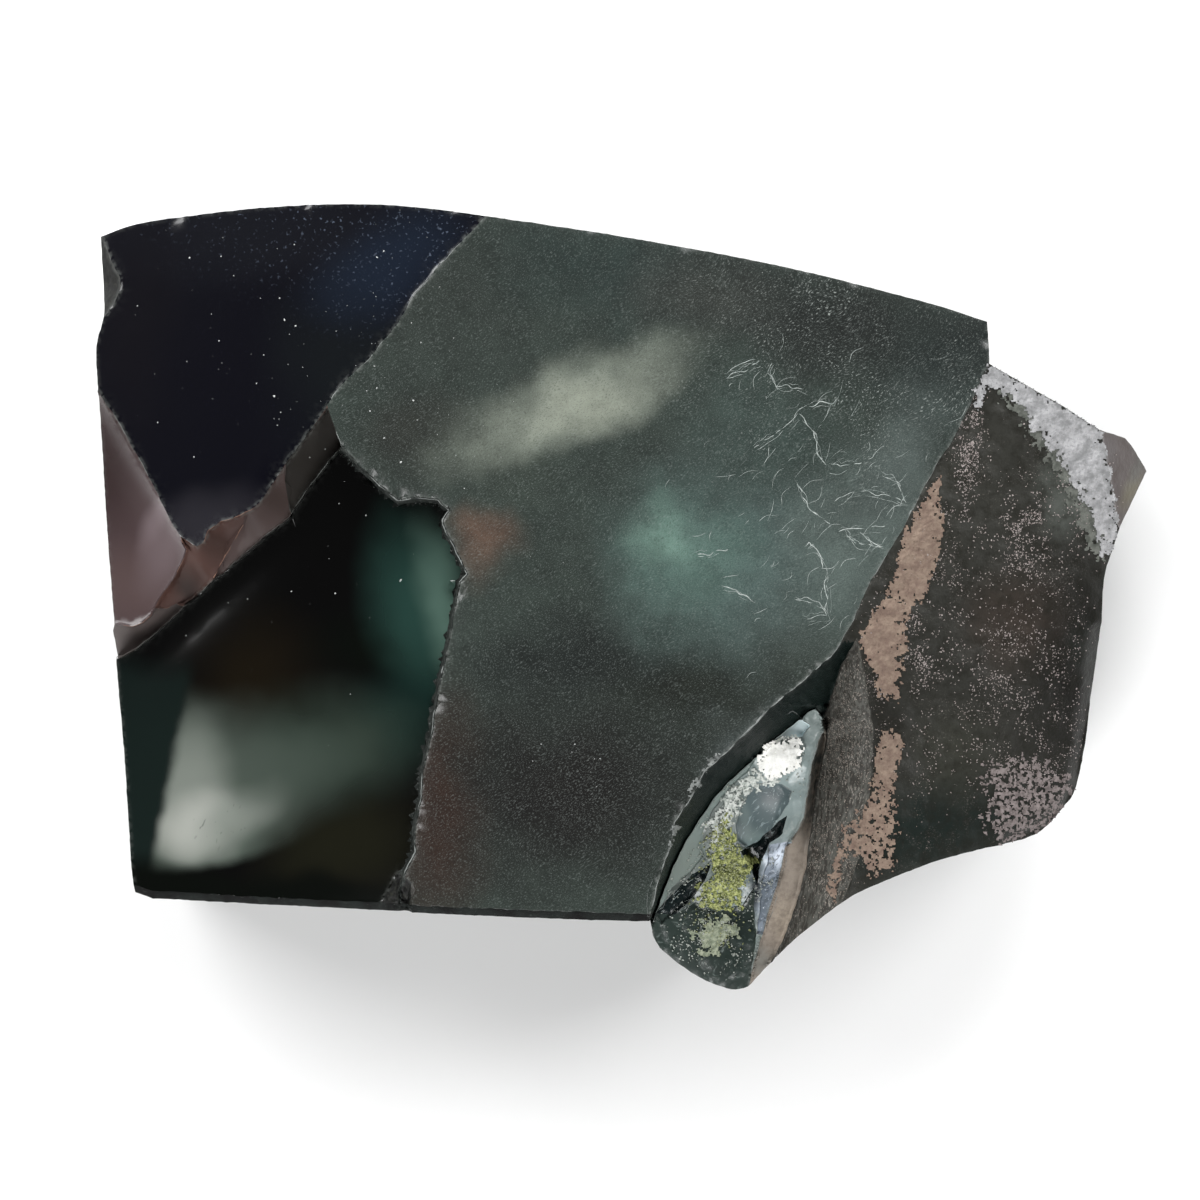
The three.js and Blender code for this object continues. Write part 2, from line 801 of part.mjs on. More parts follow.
// Breaks the block down, face by face. Corners outside the rim only close an outline.
function glassChunk() {
  const wallFoot = [
    ...GULLY,
    ...WALL_FOOT.slice(1).map(([x, y]) => [x, y, hollowFace(x, y)]),
  ];
  let body = roughBlock();
  for (const scar of SCARS_BELOW) body = strike(body, scar, BALL_DETAIL.scar);
  const everywhere = [
    [-100, -80],
    [100, -80],
    [100, 80],
    [-100, 80],
  ];
  body = breakDown(body, everywhere, topFace, CELL.top);
  body = breakDown(
    body,
    [[-16.4, 77.3], ...RIDGE, ...DUSK_LIP.slice(1), ...SCOOP_CREST.slice(1), [-99, 80]],
    duskFace,
    CELL.dusk,
  );
  body = breakDown(
    body,
    [...SCOOP_CREST.toReversed(), ...SCOOP_FLOOR_EDGE.slice(1)],
    scoopFace,
    CELL.scoop,
  );
  body = breakDown(
    body,
    [...DUSK_LIP, ...SCOOP_FLOOR_EDGE.slice(1), ...BASIN_CREST, [-51.8, 31.2]],
    ledgeFace,
    CELL.ledge,
  );
  body = breakDown(body, [...BASIN_CREST, ...CHIPPED_STEP.slice(1), [-100, -62]], basinFace, CELL.basin);
  body = breakDown(
    body,
    [...SKIN_CREST, ...TOP_LIP.slice(1), [0, -80], [110, -80], [110, 60], [65.2, 60]],
    skinFace,
    CELL.skin,
  );
  body = slope(
    body,
    spaced(TOP_LIP, STEPS.wall, (x, y) => topFace(x, y) - WALL_LIP_DROP),
    spaced(wallFoot, STEPS.wall),
  );
  body = breakDown(
    body,
    [...beside(WALL_FOOT, -0.3), [3, -60], [0, -76], ...CREVICE.slice(1).toReversed()],
    hollowFace,
    CELL.hollow,
  );
  body = slope(
    body,
    spaced(HOLLOW_RIDGE, STEPS.ridge, hollowFace),
    spaced(CREVICE, STEPS.ridge),
  );
  body = slope(
    body,
    spaced(SKIN_FOLD, STEPS.fold, (x, y) => skinFace(x, y) - FOLD_DROP),
    spaced(beside([...GULLY, ...CREVICE.slice(1)], -2 * CUT_OVERLAP), STEPS.fold),
  );
  body = breakDown(body, [...TIP_CREST, [104, 8], [104, 34]], tipFace, CELL.tip);
  body = bevel(body, RIM_EDGE.frontTop, topFace, FRONT_BEVEL);
  body = bevel(body, RIM_EDGE.frontBasin, basinFace, FRONT_BEVEL);
  body = bevel(body, RIM_EDGE.flank, skinFace, FLANK_BEVEL);
  const cornerChip = [...LEFT_CHIP, [-99, 46], [-99, 67]];
  body = breakDown(body, cornerChip, chipFace(duskFace, LEFT_CHIP), CELL.chip);
  const edgeChip = [...FOOT_CHIP, [-39, -60]];
  body = breakDown(body, edgeChip, chipFace(topFace, FOOT_CHIP.slice(0, 3)), CELL.chip);
  for (const [x, y, width] of NICKS) {
    const nick = { at: [x, y, topFace(x, y) + NICK_LIFT * width], radius: width / 2 };
    body = strike(body, nick, BALL_DETAIL.nick);
  }
  return withoutSplinters(body);
}

// A solid as a geometry with flat faces
function facetedGeometry(made) {
  const flat = asGeometry(made).toNonIndexed();
  flat.computeVertexNormals();
  return flat;
}

const chunk = new THREE.Group();
const glass = new THREE.MeshStandardMaterial({
  color: GLASS_COLOUR,
  roughness: GLASS_ROUGHNESS,
  metalness: 0,
  flatShading: true,
});
const body = new THREE.Mesh(facetedGeometry(glassChunk()), glass);
body.name = "glass_chunk";
chunk.add(body);

export default chunk;
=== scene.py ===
import math
import random

import bmesh
import bpy
import numpy as np
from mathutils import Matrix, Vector, noise
from mathutils.bvhtree import BVHTree
from mathutils.geometry import delaunay_2d_cdt


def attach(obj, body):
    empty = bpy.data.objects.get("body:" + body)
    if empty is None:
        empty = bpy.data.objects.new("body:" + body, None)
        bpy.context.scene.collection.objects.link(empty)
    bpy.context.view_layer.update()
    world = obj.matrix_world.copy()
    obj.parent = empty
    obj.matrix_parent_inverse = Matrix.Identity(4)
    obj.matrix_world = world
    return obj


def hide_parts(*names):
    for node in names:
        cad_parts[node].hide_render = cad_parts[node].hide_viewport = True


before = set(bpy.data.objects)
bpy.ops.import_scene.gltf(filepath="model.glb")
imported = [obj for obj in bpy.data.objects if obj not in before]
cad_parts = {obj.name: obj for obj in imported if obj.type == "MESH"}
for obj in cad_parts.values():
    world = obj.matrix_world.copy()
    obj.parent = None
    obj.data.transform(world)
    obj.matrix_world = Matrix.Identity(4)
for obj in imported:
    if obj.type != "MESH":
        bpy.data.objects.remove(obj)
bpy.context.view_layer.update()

# The rim of the chunk
# One broken piece of a thick cake of furnace glass, lying on its cast underside.
# Its rim in plan, in millimetres and anticlockwise, one side at a time: the back is the curved
# outer wall of the mould, and all other sides are where the cake was broken up with a hammer.

# All sizes are in millimetres, but for those of the floor, the light and the camera, in metres
MM = 0.001
RIM_SPACING = 0.8
ROUGH = 0.22
ROUGH_GRAIN = 1.6
RIM_ROUGH = 0.1
RIM_GRAIN = 0.9
WAVER_SEED = 58

rim_sides = [
    # name, whether round, the foot's share of the rim's size, height of the undercut, points
    ("cast wall", True, 0.97, 20, [
        (64.5, 49.4), (53.2, 53.0), (28.0, 59.3), (-0.8, 64.7), (-24.8, 68.3), (-38.0, 70.1),
        (-51.2, 70.7), (-65.6, 70.1), (-76.4, 69.0), (-87.4, 67.5), (-94.2, 65.2)]),
    ("broken wall", True, 0.94, 22, [
        (-94.2, 65.2), (-93.9, 56.0), (-93.5, 51.0), (-94.8, 44.9), (-94.2, 34.0), (-93.4, 17.9),
        (-92.4, 3.5), (-91.7, -4.4)]),
    ("broken wall", False, 0.95, 18, [
        (-91.7, -4.4), (-92.2, -5.6), (-91.6, -10.2), (-91.2, -18.1), (-90.1, -34.0),
        (-89.2, -48.5), (-88.6, -53.0)]),
    ("broken wall", False, 0.93, 24, [
        (-88.6, -53.0), (-85.4, -54.1), (-65.6, -55.0), (-39.5, -55.9), (-18.8, -56.8),
        (-4.4, -57.3), (4.6, -57.5)]),
    ("broken wall", True, 0.8, 17, [
        (4.6, -57.5), (5.8, -62.2), (9.1, -65.6), (13.0, -68.3), (16.4, -70.0), (20.0, -70.9),
        (22.5, -70.3)]),
    ("broken wall", True, 0.85, 24, [
        (22.5, -70.3), (27.1, -65.4), (31.6, -60.9), (37.0, -56.4), (42.4, -52.8), (49.6, -49.8),
        (56.8, -47.2), (64.0, -45.4), (70.2, -44.2)]),
    ("broken wall", True, 0.88, 20, [
        (70.2, -44.2), (73.6, -43.3), (76.6, -41.7), (80.2, -38.0), (82.5, -34.4), (84.2, -25.3),
        (84.9, -18.1), (86.3, -6.0), (86.7, 3.5), (88.0, 8.4)]),
    ("broken wall", False, 0.84, 19, [
        (88.0, 8.4), (89.5, 13.0), (92.2, 18.3), (94.8, 23.3), (92.1, 27.3), (90.4, 29.1),
        (85.2, 30.5)]),
    ("broken wall", False, 0.88, 24, [
        (85.2, 30.5), (78.4, 34.6), (69.4, 39.5), (64.9, 42.0), (64.8, 45.8), (64.5, 49.4)]),
]


def respaced(line, step):
    """The same line with evenly spaced points, about step apart."""
    line = np.asarray(line, float)
    run = np.concatenate([[0], np.cumsum(np.hypot(*np.diff(line[:, :2], axis=0).T))])
    marks = np.linspace(0, run[-1], max(2, round(run[-1] / step)) + 1)
    return np.column_stack([np.interp(marks, run, column) for column in line.T])


def curved(points, step):
    """A smooth line through the points."""
    p = np.array([points[0], *points, points[-1]], float)
    t = np.linspace(0, 1, 24, endpoint=False)[:, None]
    bends = []
    for a, b, c, d in zip(p, p[1:], p[2:], p[3:]):
        out, back = (c - a) / 2, (d - b) / 2
        cubic = 2 * b - 2 * c + out + back
        bends.append(cubic * t**3 + (3 * c - 3 * b - 2 * out - back) * t**2 + out * t + b)
    return respaced(np.vstack([*bends, p[-1:]]), step)


def cornered(points, step):
    """A line through the points that keeps each of them as a corner."""
    parts = [respaced(pair, step)[:-1] for pair in zip(points, points[1:])]
    return np.vstack([*parts, np.array(points[-1:], float)])


# without a seed the noise that moves points would start anew with each run
noise.seed_set(WAVER_SEED)


def roughened(line, amount=ROUGH, grain=ROUGH_GRAIN):
    """The line with the small waver of a break. Points that two lines share move alike."""
    moved = []
    for x, y, *rest in line:
        shift = noise.noise_vector(Vector((x / grain, y / grain, 7.3)))
        moved.append((x + amount * shift.x, y + amount * shift.y, *rest))
    return np.array(moved)


rim_runs = []
for side_name, is_round, foot, waist, points in rim_sides:
    run = curved(points, RIM_SPACING) if is_round else cornered(points, RIM_SPACING)
    rim_runs.append((run[:-1], side_name == "cast wall", foot, waist))
rim = roughened(np.vstack([run for run, _, _, _ in rim_runs]), RIM_ROUGH, RIM_GRAIN)
rim_is_cast = np.concatenate([np.full(len(run), cast) for run, cast, _, _ in rim_runs])


EASED_STEPS = 30
EASED_WIDTH = 6.9


def eased(values):
    """Evens out how a number changes from one side of the rim to the next."""
    reach = np.arange(-EASED_STEPS, EASED_STEPS + 1)
    weights = np.exp(-((reach * RIM_SPACING / EASED_WIDTH) ** 2) / 2)
    around = np.concatenate([values[-EASED_STEPS:], values, values[:EASED_STEPS]])
    return np.convolve(around, weights / weights.sum(), "valid")


rim_foot = eased(np.concatenate([np.full(len(run), foot) for run, _, foot, _ in rim_runs]))
rim_waist = eased(np.concatenate([np.full(len(run), waist) for run, _, _, waist in rim_runs]))

# The lines where its faces meet
# Each break ran until it met an older one, so neighbouring faces share a line.
# The lines are the ridges, lips and creases that the eye follows over the chunk.

LINE_SPACING = 0.55


def broken_line(points):
    """The line of a break through the points, with each of them as a corner."""
    return roughened(cornered(points, LINE_SPACING))


ridge_top = (-24.8, 68.3)
three_faces_meet = (-53.0, 34.6)
ledge_meets_step = (-50.5, 27.3)
dusk_point = (-79.3, 11.2)
ledge_end = (-91.7, -4.4)
notch_corner = (64.9, 42.0)
cleft_top = (38.6, -7.6)
cleft_top_right = (41.1, -7.5)
hollow_top = (35.7, -21.7)

ridge = broken_line([
    (-21.0, 72.9), ridge_top, (-33.2, 59.3), (-37.7, 53.9), (-40.4, 49.4), (-46.2, 42.2),
    (-49.4, 39.5), (-51.6, 36.8), three_faces_meet])
dusk_lip = broken_line([
    three_faces_meet, (-57.3, 28.5), (-60.0, 24.9), (-62.7, 20.8), (-64.9, 17.6),
    (-66.7, 15.9), (-69.8, 14.7), (-72.3, 13.8), (-74.4, 12.3), (-75.1, 10.2), (-76.4, 9.4),
    dusk_point])
scoop_crest = broken_line([
    dusk_point, (-81.3, 14.3), (-85.4, 22.6), (-91.0, 32.3), (-94.2, 37.0), (-99.0, 44.0)])
scoop_floor_edge = broken_line([
    dusk_point, (-78.3, 9.0), (-78.8, 7.3), (-80.9, 3.7), (-83.6, -0.1), (-85.0, -2.8),
    (-86.6, -4.2), (-88.6, -4.8), ledge_end, (-100.0, -4.2)])
basin_crest = broken_line([
    (-100.0, -10.5), (-90.6, -10.3), (-87.4, -8.4), (-84.3, -6.0), (-78.0, -0.4),
    (-71.4, 5.3), (-65.6, 10.4), (-60.0, 14.8), (-56.6, 20.0), (-52.3, 25.5),
    ledge_meets_step])
chipped_step = broken_line([
    ledge_meets_step, (-47.4, 23.8), (-43.5, 20.1), (-40.6, 17.7), (-36.8, 18.1),
    (-33.4, 17.7), (-31.4, 15.8), (-32.5, 14.3), (-31.9, 11.8), (-30.5, 9.4), (-28.2, 4.6),
    (-29.6, 3.0), (-30.3, -1.3), (-31.9, -9.1), (-33.4, -16.8), (-34.6, -24.0),
    (-36.1, -30.9), (-36.4, -35.2), (-37.7, -41.9), (-37.4, -45.0), (-39.3, -48.6),
    (-40.2, -52.5), (-40.4, -62.0)])
ledge_to_ridge = broken_line([ledge_meets_step, (-51.8, 31.2), three_faces_meet])
skin_crest = broken_line([
    (65.2, 60.0), notch_corner, (63.1, 38.4), (61.3, 34.3), (58.2, 28.2), (55.4, 24.0),
    (52.3, 18.1), (49.9, 13.2), (44.5, 4.4), (42.2, 0.1), (40.9, -3.3), cleft_top])
top_lip = broken_line([
    cleft_top, (36.3, -10.5), (31.4, -14.7), (26.0, -19.2), (22.1, -23.1), (18.1, -27.3),
    (14.1, -30.5), (12.7, -33.8), (11.2, -36.3), (8.9, -39.7), (8.2, -44.0), (7.1, -46.5),
    (5.7, -51.2), (4.0, -58.6)])
gully = broken_line([
    (*cleft_top_right, 55.0), (38.8, -11.6, 51.0), (37.0, -17.4, 46.5), (*hollow_top, 42.5)])
wall_foot = broken_line([
    hollow_top, (34.4, -19.7), (33.0, -20.4), (27.6, -24.8), (22.8, -29.4), (19.9, -31.9),
    (17.0, -34.8), (13.4, -40.0), (11.2, -43.3), (8.5, -49.0), (6.4, -54.4), (4.7, -59.4)])
hollow_ridge = broken_line([
    hollow_top, (35.9, -23.1), (34.8, -25.8), (33.8, -29.8), (32.7, -36.6), (32.3, -39.5),
    (31.2, -41.9), (29.2, -44.7), (28.0, -50.5), (26.0, -57.1), (24.2, -63.5), (22.5, -70.3),
    (22.0, -76.0)])
crevice = broken_line([
    (*hollow_top, 42.5), (36.5, -25.3, 40.0), (35.6, -29.8, 38.6), (34.6, -34.3, 37.8),
    (34.0, -38.8, 37.4), (33.3, -44.7, 37.2), (33.0, -48.3, 36.8), (31.4, -54.4, 35.6),
    (29.4, -60.4, 34.4), (25.8, -67.4, 33.2), (24.6, -76.0, 32.4)])
skin_fold = broken_line([
    (41.7, -7.0), (43.0, -14.5), (44.6, -23.5), (44.4, -32.5), (43.4, -41.5), (41.6, -49.0),
    (39.2, -54.8), (37.0, -62.0)])
tip_crest = broken_line([
    (84.8, 36.0), (85.4, 30.0), (86.5, 26.0), (87.8, 19.7), (89.0, 13.6), (92.0, 8.0)])
left_chip = broken_line([
    (-94.2, 66.0), (-93.0, 62.9), (-92.2, 60.8), (-90.5, 57.9), (-90.5, 55.7), (-91.7, 53.0),
    (-93.7, 50.3), (-95.4, 47.5)])
foot_chip = broken_line([(-38.0, -50.6), (-40.6, -49.0), (-43.9, -55.0), (-44.4, -60.0)])


def distance_to(line, x, y, with_height=False):
    """How far points are from a line, and on request the line's own height at the nearest place."""
    best = np.full(np.shape(x), 1e9)
    height = np.zeros(np.shape(x))
    for a, b in zip(line, line[1:]):
        dx, dy = b[0] - a[0], b[1] - a[1]
        t = np.clip(((x - a[0]) * dx + (y - a[1]) * dy) / (dx * dx + dy * dy + 1e-12), 0, 1)
        off = np.hypot(x - a[0] - t * dx, y - a[1] - t * dy)
        if with_height:
            height = np.where(off < best, a[2] + t * (b[2] - a[2]), height)
        best = np.minimum(best, off)
    return (best, height) if with_height else best


def is_inside(outline, x, y):
    """Whether points lie within a closed outline."""
    odd = np.zeros(np.shape(x), bool)
    for a, b in zip(outline, np.roll(outline, -1, axis=0)):
        spans = (a[1] > y) != (b[1] > y)
        slope = (b[0] - a[0]) / (b[1] - a[1]) if b[1] != a[1] else 0.0
        odd ^= spans & (x < a[0] + (y - a[1]) * slope)
    return odd


def depth_in(outline, x, y):
    """How deep points lie within a closed outline, below zero outside it."""
    off = distance_to(np.vstack([outline, outline[:1]]), x, y)
    return np.where(is_inside(outline, x, y), off, -off)


def joined(*lines):
    """One outline from lines that follow each other."""
    return np.vstack([np.asarray(line, float)[:, :2] for line in lines])


# The faces of the chunk
# Glass breaks in shell-shaped faces. Each is given here as its height in millimetres over the
# underside, and as the outline within which it broke away what stood above it.

CAKE_THICKNESS = 57.0


def beyond(a, b, x, y):
    """Distance of points from the straight line a to b, positive on its right."""
    dx, dy = b[0] - a[0], b[1] - a[1]
    return ((x - a[0]) * dy - (y - a[1]) * dx) / math.hypot(dx, dy)


def swell(x, y, length, height):
    """Low swells that a slowly cooled skin has."""
    a = np.sin(x / length + 1.3 * np.sin(y / (1.7 * length)))
    b = np.cos(y / (1.2 * length) - 0.9 * np.sin(x / (2.1 * length)))
    return height * a * b


CROWN_RADIUS = 4500
TOP_SLOPES = (0.015, 0.02)


def top_face(x, y):
    """The old top of the cake, all but level and a little crowned."""
    crown = ((x - 10) ** 2 + y**2) / (2 * CROWN_RADIUS)
    return CAKE_THICKNESS + TOP_SLOPES[0] * x + TOP_SLOPES[1] * y - crown


DUSK_SLOPE = 0.17


def dusk_face(x, y):
    """The flat dark break that falls away from the ridge."""
    return top_face(x, y) - DUSK_SLOPE * beyond(ridge_top, three_faces_meet, x, y)


SCOOP_DEPTH = 8.5
SCOOP_REACH = 8


def scoop_face(x, y):
    """The mauve scoop: steep at its crest, then level."""
    away = np.maximum(-beyond(dusk_point, (-94.2, 37.0), x, y), 0)
    return dusk_face(x, y) - SCOOP_DEPTH * (1 - np.exp(-away / SCOOP_REACH))


LEDGE_STEP = 0.6
LEDGE_SAG = 1.2


def ledge_face(x, y):
    """The brown ledge, a step under the scoop, that sags between its two edges."""
    a, b = distance_to(dusk_lip, x, y), distance_to(scoop_floor_edge, x, y)
    return scoop_face(x, y) - LEDGE_STEP - LEDGE_SAG * a * b / (a + b + 0.01)


BASIN_MIDDLE = (-62, -4)
BASIN_LOW = 45
BASIN_TURN = 0.734
BASIN_FALL = 6
BASIN_RUN = 28
BASIN_SHIFT = 8
BASIN_BENDS = (0.0205, 0.0035)


def basin_face(x, y):
    """The glossy basin: a trough that runs down along its turn and bends up to both sides."""
    dx, dy = x - BASIN_MIDDLE[0], y - BASIN_MIDDLE[1]
    v = dx * math.cos(BASIN_TURN) + dy * math.sin(BASIN_TURN)
    u = dx * math.sin(BASIN_TURN) - dy * math.cos(BASIN_TURN)
    fall = np.tanh((v + BASIN_SHIFT) / BASIN_RUN) - math.tanh(BASIN_SHIFT / BASIN_RUN)
    return BASIN_LOW + BASIN_FALL * fall + np.where(u < 0, *BASIN_BENDS) * u * u


SKIN_STEP = 0.5
SKIN_SLOPE = 0.3
SKIN_BEND = 0.0045
SHOULDER = [(45, -32), (38, -60)]
SHOULDER_REACH = 22
SHOULDER_DROP = 5


def skin_face(x, y):
    """The weathered side: it slopes off ever steeper, rolls over at its shoulder and swells."""
    away = np.maximum(-beyond(notch_corner, cleft_top, x, y), 0)
    fall = SKIN_STEP + SKIN_SLOPE * away + SKIN_BEND * away * away
    shoulder = distance_to(SHOULDER, x, y)
    roll = SHOULDER_DROP * np.maximum(1 - shoulder / SHOULDER_REACH, 0) ** 2
    return top_face(x, y) - fall - roll + swell(x, y, 5.5, 0.55) + swell(y, x, 2.9, 0.2)


# Shell-shaped flake scars in the hollow: place, depth and width
hollow_flakes = [
    (24.4, -38.3, 2.2, 6.0), (15.5, -46.0, 1.2, 5.0), (27.4, -49.5, 1.3, 4.0),
    (19.0, -57.0, 1.2, 5.5), (30.5, -33.0, 0.8, 3.2), (12.0, -54.5, 1.0, 4.2),
    (21.5, -47.0, 0.9, 3.0), (17.0, -64.0, 1.2, 4.5), (25.5, -43.5, 1.3, 3.0),
]


HOLLOW_HEIGHT = 44
HOLLOW_FALL = 0.25
HOLLOW_SIDES = (0.1, -0.38)
LUMP_AT = (28.4, -28.4)
LUMP_HEIGHT = 1.4


def hollow_face(x, y):
    """The hollow's floor: it falls to the foot, slopes to both sides and has a lump."""
    aside = beyond((34.5, -20.5), (16, -69), x, y)
    side = np.where(aside > 0, *HOLLOW_SIDES) * aside
    bite = np.zeros(np.shape(x))
    for flake_x, flake_y, depth, width in hollow_flakes:
        out = ((x - flake_x) ** 2 + (y - flake_y) ** 2) / width**2
        bite = np.maximum(bite, depth * (1 - out))
    lump = LUMP_HEIGHT * np.exp(-((x - LUMP_AT[0]) ** 2 + (y - LUMP_AT[1]) ** 2) / 10)
    fall = HOLLOW_FALL * (y + 20.5)
    return HOLLOW_HEIGHT + fall + side - bite + lump + swell(x, y, 2.6, 0.15)


def between(upper_line, upper_height, lower_line, x, y, lower_height=None):
    """The straight slope from a line at one height down to a line at another."""
    high = distance_to(upper_line, x, y)
    if lower_height is None:
        low, floor = distance_to(lower_line, x, y, with_height=True)
    else:
        low, floor = distance_to(lower_line, x, y), lower_height
    down = high / np.maximum(high + low, 1e-6)
    return upper_height + (floor - upper_height) * down


LIP_DROP = 0.5
GULLY_FROM = -19.0


def wall_face(x, y):
    """The wall from the top's lip down to the hollow, and down to the gully at its upper end."""
    in_gully = y > GULLY_FROM
    lip = top_face(x, y) - LIP_DROP
    by_foot = between(top_lip, lip, wall_foot, x, y, hollow_face(x, y))
    by_gully = between(top_lip, lip, gully, x, y)
    return np.where(in_gully, by_gully, by_foot)


def tan_face(x, y):
    """The tan strip, from the hollow's ridge down to the crevice."""
    return between(hollow_ridge, hollow_face(x, y), crevice, x, y)


gully_and_crevice = np.vstack([gully, crevice[1:]])


def streaked_face(x, y):
    """The streaked slope, from the fold of the skin down to the crevice."""
    return between(skin_fold, skin_face(x, y) - 0.3, gully_and_crevice, x, y)


def chip_of(face, line, step=0.4, slope=1.3):
    """A corner knocked off a face: a small step at its line and a slope away from it."""
    return lambda x, y: face(x, y) - step - slope * distance_to(line, x, y)


# Smaller facets within the brown ledge and within the hollow, each with its own slight tilt
red_facet_end = [(-68.1, 13.7), (-72.1, 6.8), (-74.0, 3.0)]
grey_facet_start = [(-60.5, 24.9), (-60.7, 21.0), (-60.2, 17.6), (-59.0, 13.0)]
foot_facet_start = [(-87.0, -1.2), (-85.0, -1.6), (-82.4, -1.6), (-80.5, -0.7), (-79.0, -1.2)]
mauve_facet = broken_line([*red_facet_end, (-66, 8), *grey_facet_start[::-1], (-66.7, 19),
                           red_facet_end[0]])
grey_facet = broken_line([*grey_facet_start, (-48, 22), (-48, 40), grey_facet_start[0]])
foot_facet = broken_line([*foot_facet_start, (-88, -12), (-101, -12), (-101, -5),
                          foot_facet_start[0]])
pale_strip = broken_line([
    (33.6, -22.8), (32.2, -24.6), (29.2, -25.0), (25.2, -27.0), (22.0, -31.4), (18.6, -34.6),
    (15.6, -38.8), (14.2, -42.6), (14.6, -46.6), (12.0, -49.4), (8.6, -52.2), (6.9, -56.0),
    (4.0, -56.6), (4.0, -52.0), (14.0, -34.0), (30.0, -20.0), (33.6, -22.8)])
shell_facet = broken_line([
    (23.6, -33.6), (26.0, -32.8), (28.6, -33.4), (30.2, -34.6), (29.6, -37.0), (27.4, -40.4),
    (25.4, -43.4), (22.2, -45.2), (20.4, -43.8), (20.2, -40.6), (21.2, -37.0), (23.6, -33.6)])
blue_facet = broken_line([
    (26.2, -44.4), (29.9, -43.6), (29.4, -47.0), (28.2, -51.5), (26.9, -56.6), (25.2, -60.7),
    (24.0, -60.7), (24.6, -54.6), (24.8, -51.0), (25.9, -48.0), (26.2, -44.4)])
dark_notch = broken_line([
    (21.0, -45.6), (24.0, -43.9), (27.2, -41.0), (29.4, -39.0), (28.6, -42.4), (26.4, -44.0),
    (24.8, -47.4), (24.0, -52.0), (23.2, -49.0), (21.0, -45.6)])
dark_pocket = broken_line([
    (12.2, -49.8), (15.6, -48.0), (14.6, -51.0), (12.6, -54.0), (9.4, -57.0), (6.6, -59.2),
    (5.0, -57.2), (7.4, -54.6), (12.2, -49.8)])
lower_hollow = broken_line([
    (3.0, -57.0), (9.0, -57.2), (13.0, -55.0), (17.0, -56.6), (21.4, -55.4), (23.4, -52.0),
    (23.6, -57.0), (24.0, -61.0), (22.0, -76.0), (0.0, -76.0), (3.0, -57.0)])
facet_lines = [
    red_facet_end, grey_facet_start, foot_facet_start, pale_strip, shell_facet, blue_facet,
    dark_notch, dark_pocket, lower_hollow]


def tilted(face, x0, y0, drop, slope_x, slope_y):
    """A face a little below another one, and turned a little about a point in plan."""
    return lambda x, y: face(x, y) - drop + slope_x * (x - x0) + slope_y * (y - y0)


# In the order in which they broke: name, outline, face, and how wide the lip's wall is in plan
breaks = [
    ("dusk", joined([(-16.4, 77.3)], ridge, dusk_lip[1:], scoop_crest[1:], [(-99, 80)]),
     dusk_face, 0.3),
    ("scoop", joined(scoop_crest[::-1], scoop_floor_edge[1:]), scoop_face, 0.3),
    ("ledge", joined(dusk_lip, scoop_floor_edge[1:], basin_crest, ledge_to_ridge[1:]),
     ledge_face, 0.35),
    ("mauve facet", mauve_facet, tilted(ledge_face, -64, 15, 0.35, 0.04, 0.05), 0.25),
    ("grey facet", grey_facet, tilted(ledge_face, -55, 24, 0.5, 0.03, -0.05), 0.25),
    ("foot facet", foot_facet, tilted(ledge_face, -88, -6, 0.4, 0.0, 0.06), 0.25),
    ("basin", joined(basin_crest, chipped_step[1:], [(-100, -62)]), basin_face, 0.6),
    ("skin", joined(skin_crest, top_lip[1:], [(0, -80), (110, -80), (110, 60)]),
     skin_face, 0.35),
    ("wall", joined(top_lip, wall_foot[::-1], gully[::-1][1:]), wall_face, 0.3),
    ("hollow", joined(wall_foot, [(3, -60), (0, -76)], hollow_ridge[::-1][:-1]),
     hollow_face, 0.3),
    ("pale strip", pale_strip, tilted(hollow_face, 20, -36, 0.5, -0.1, 0.05), 0.3),
    ("shell facet", shell_facet, tilted(hollow_face, 25, -39, 0.7, 0.1, 0.0), 0.3),
    ("blue facet", blue_facet, tilted(hollow_face, 26, -51, 0.3, 0.18, 0.0), 0.3),
    ("dark notch", dark_notch, tilted(hollow_face, 25, -44, 2.4, 0.0, 0.0), 0.6),
    ("dark pocket", dark_pocket, tilted(hollow_face, 11, -53, 1.8, 0.0, 0.0), 0.7),
    ("lower hollow", lower_hollow, tilted(hollow_face, 14, -63, 0.7, 0.0, -0.06), 0.4),
    ("tan", joined(hollow_ridge, crevice[::-1][:-1]), tan_face, 0.3),
    ("streaked", joined(gully_and_crevice, skin_fold[::-1]), streaked_face, 0.3),
    ("tip", joined(tip_crest, [(104, 8), (104, 36)]),
     chip_of(skin_face, tip_crest, 0.5, 0.85), 0.3),
    ("left chip", joined(left_chip, [(-99, 46), (-99, 67)]), chip_of(dusk_face, left_chip), 0.3),
    ("foot chip", joined(foot_chip, [(-39, -60)]), chip_of(top_face, foot_chip), 0.3),
]

# Bevels where the rim was rubbed: the stretch of rim, and the bevel's width and drop
bevels = [
    (cornered([(-88.6, -53.0), (-85.4, -54.1), (-65.6, -55.0), (-39.5, -55.9), (-18.8, -56.8),
               (4.6, -57.5)], 3), 1.3, 1.5),
    (cornered([(70.2, -44.2), (76.6, -41.7), (80.2, -38.0), (82.5, -34.4), (84.9, -18.1),
               (86.3, -6.0)], 3), 2.2, 2.4),
]

# where the rubbed lower edge begins, so that the net of the mesh follows it
rubbed_from = broken_line([
    (-96.0, -51.4), (-88.8, -51.6), (-85.4, -52.7), (-65.6, -53.6), (-39.5, -54.5), (-18.8, -55.4),
    (5.0, -56.2)])
rubbed_edge = joined(rubbed_from, [(5, -80), (-100, -80)])

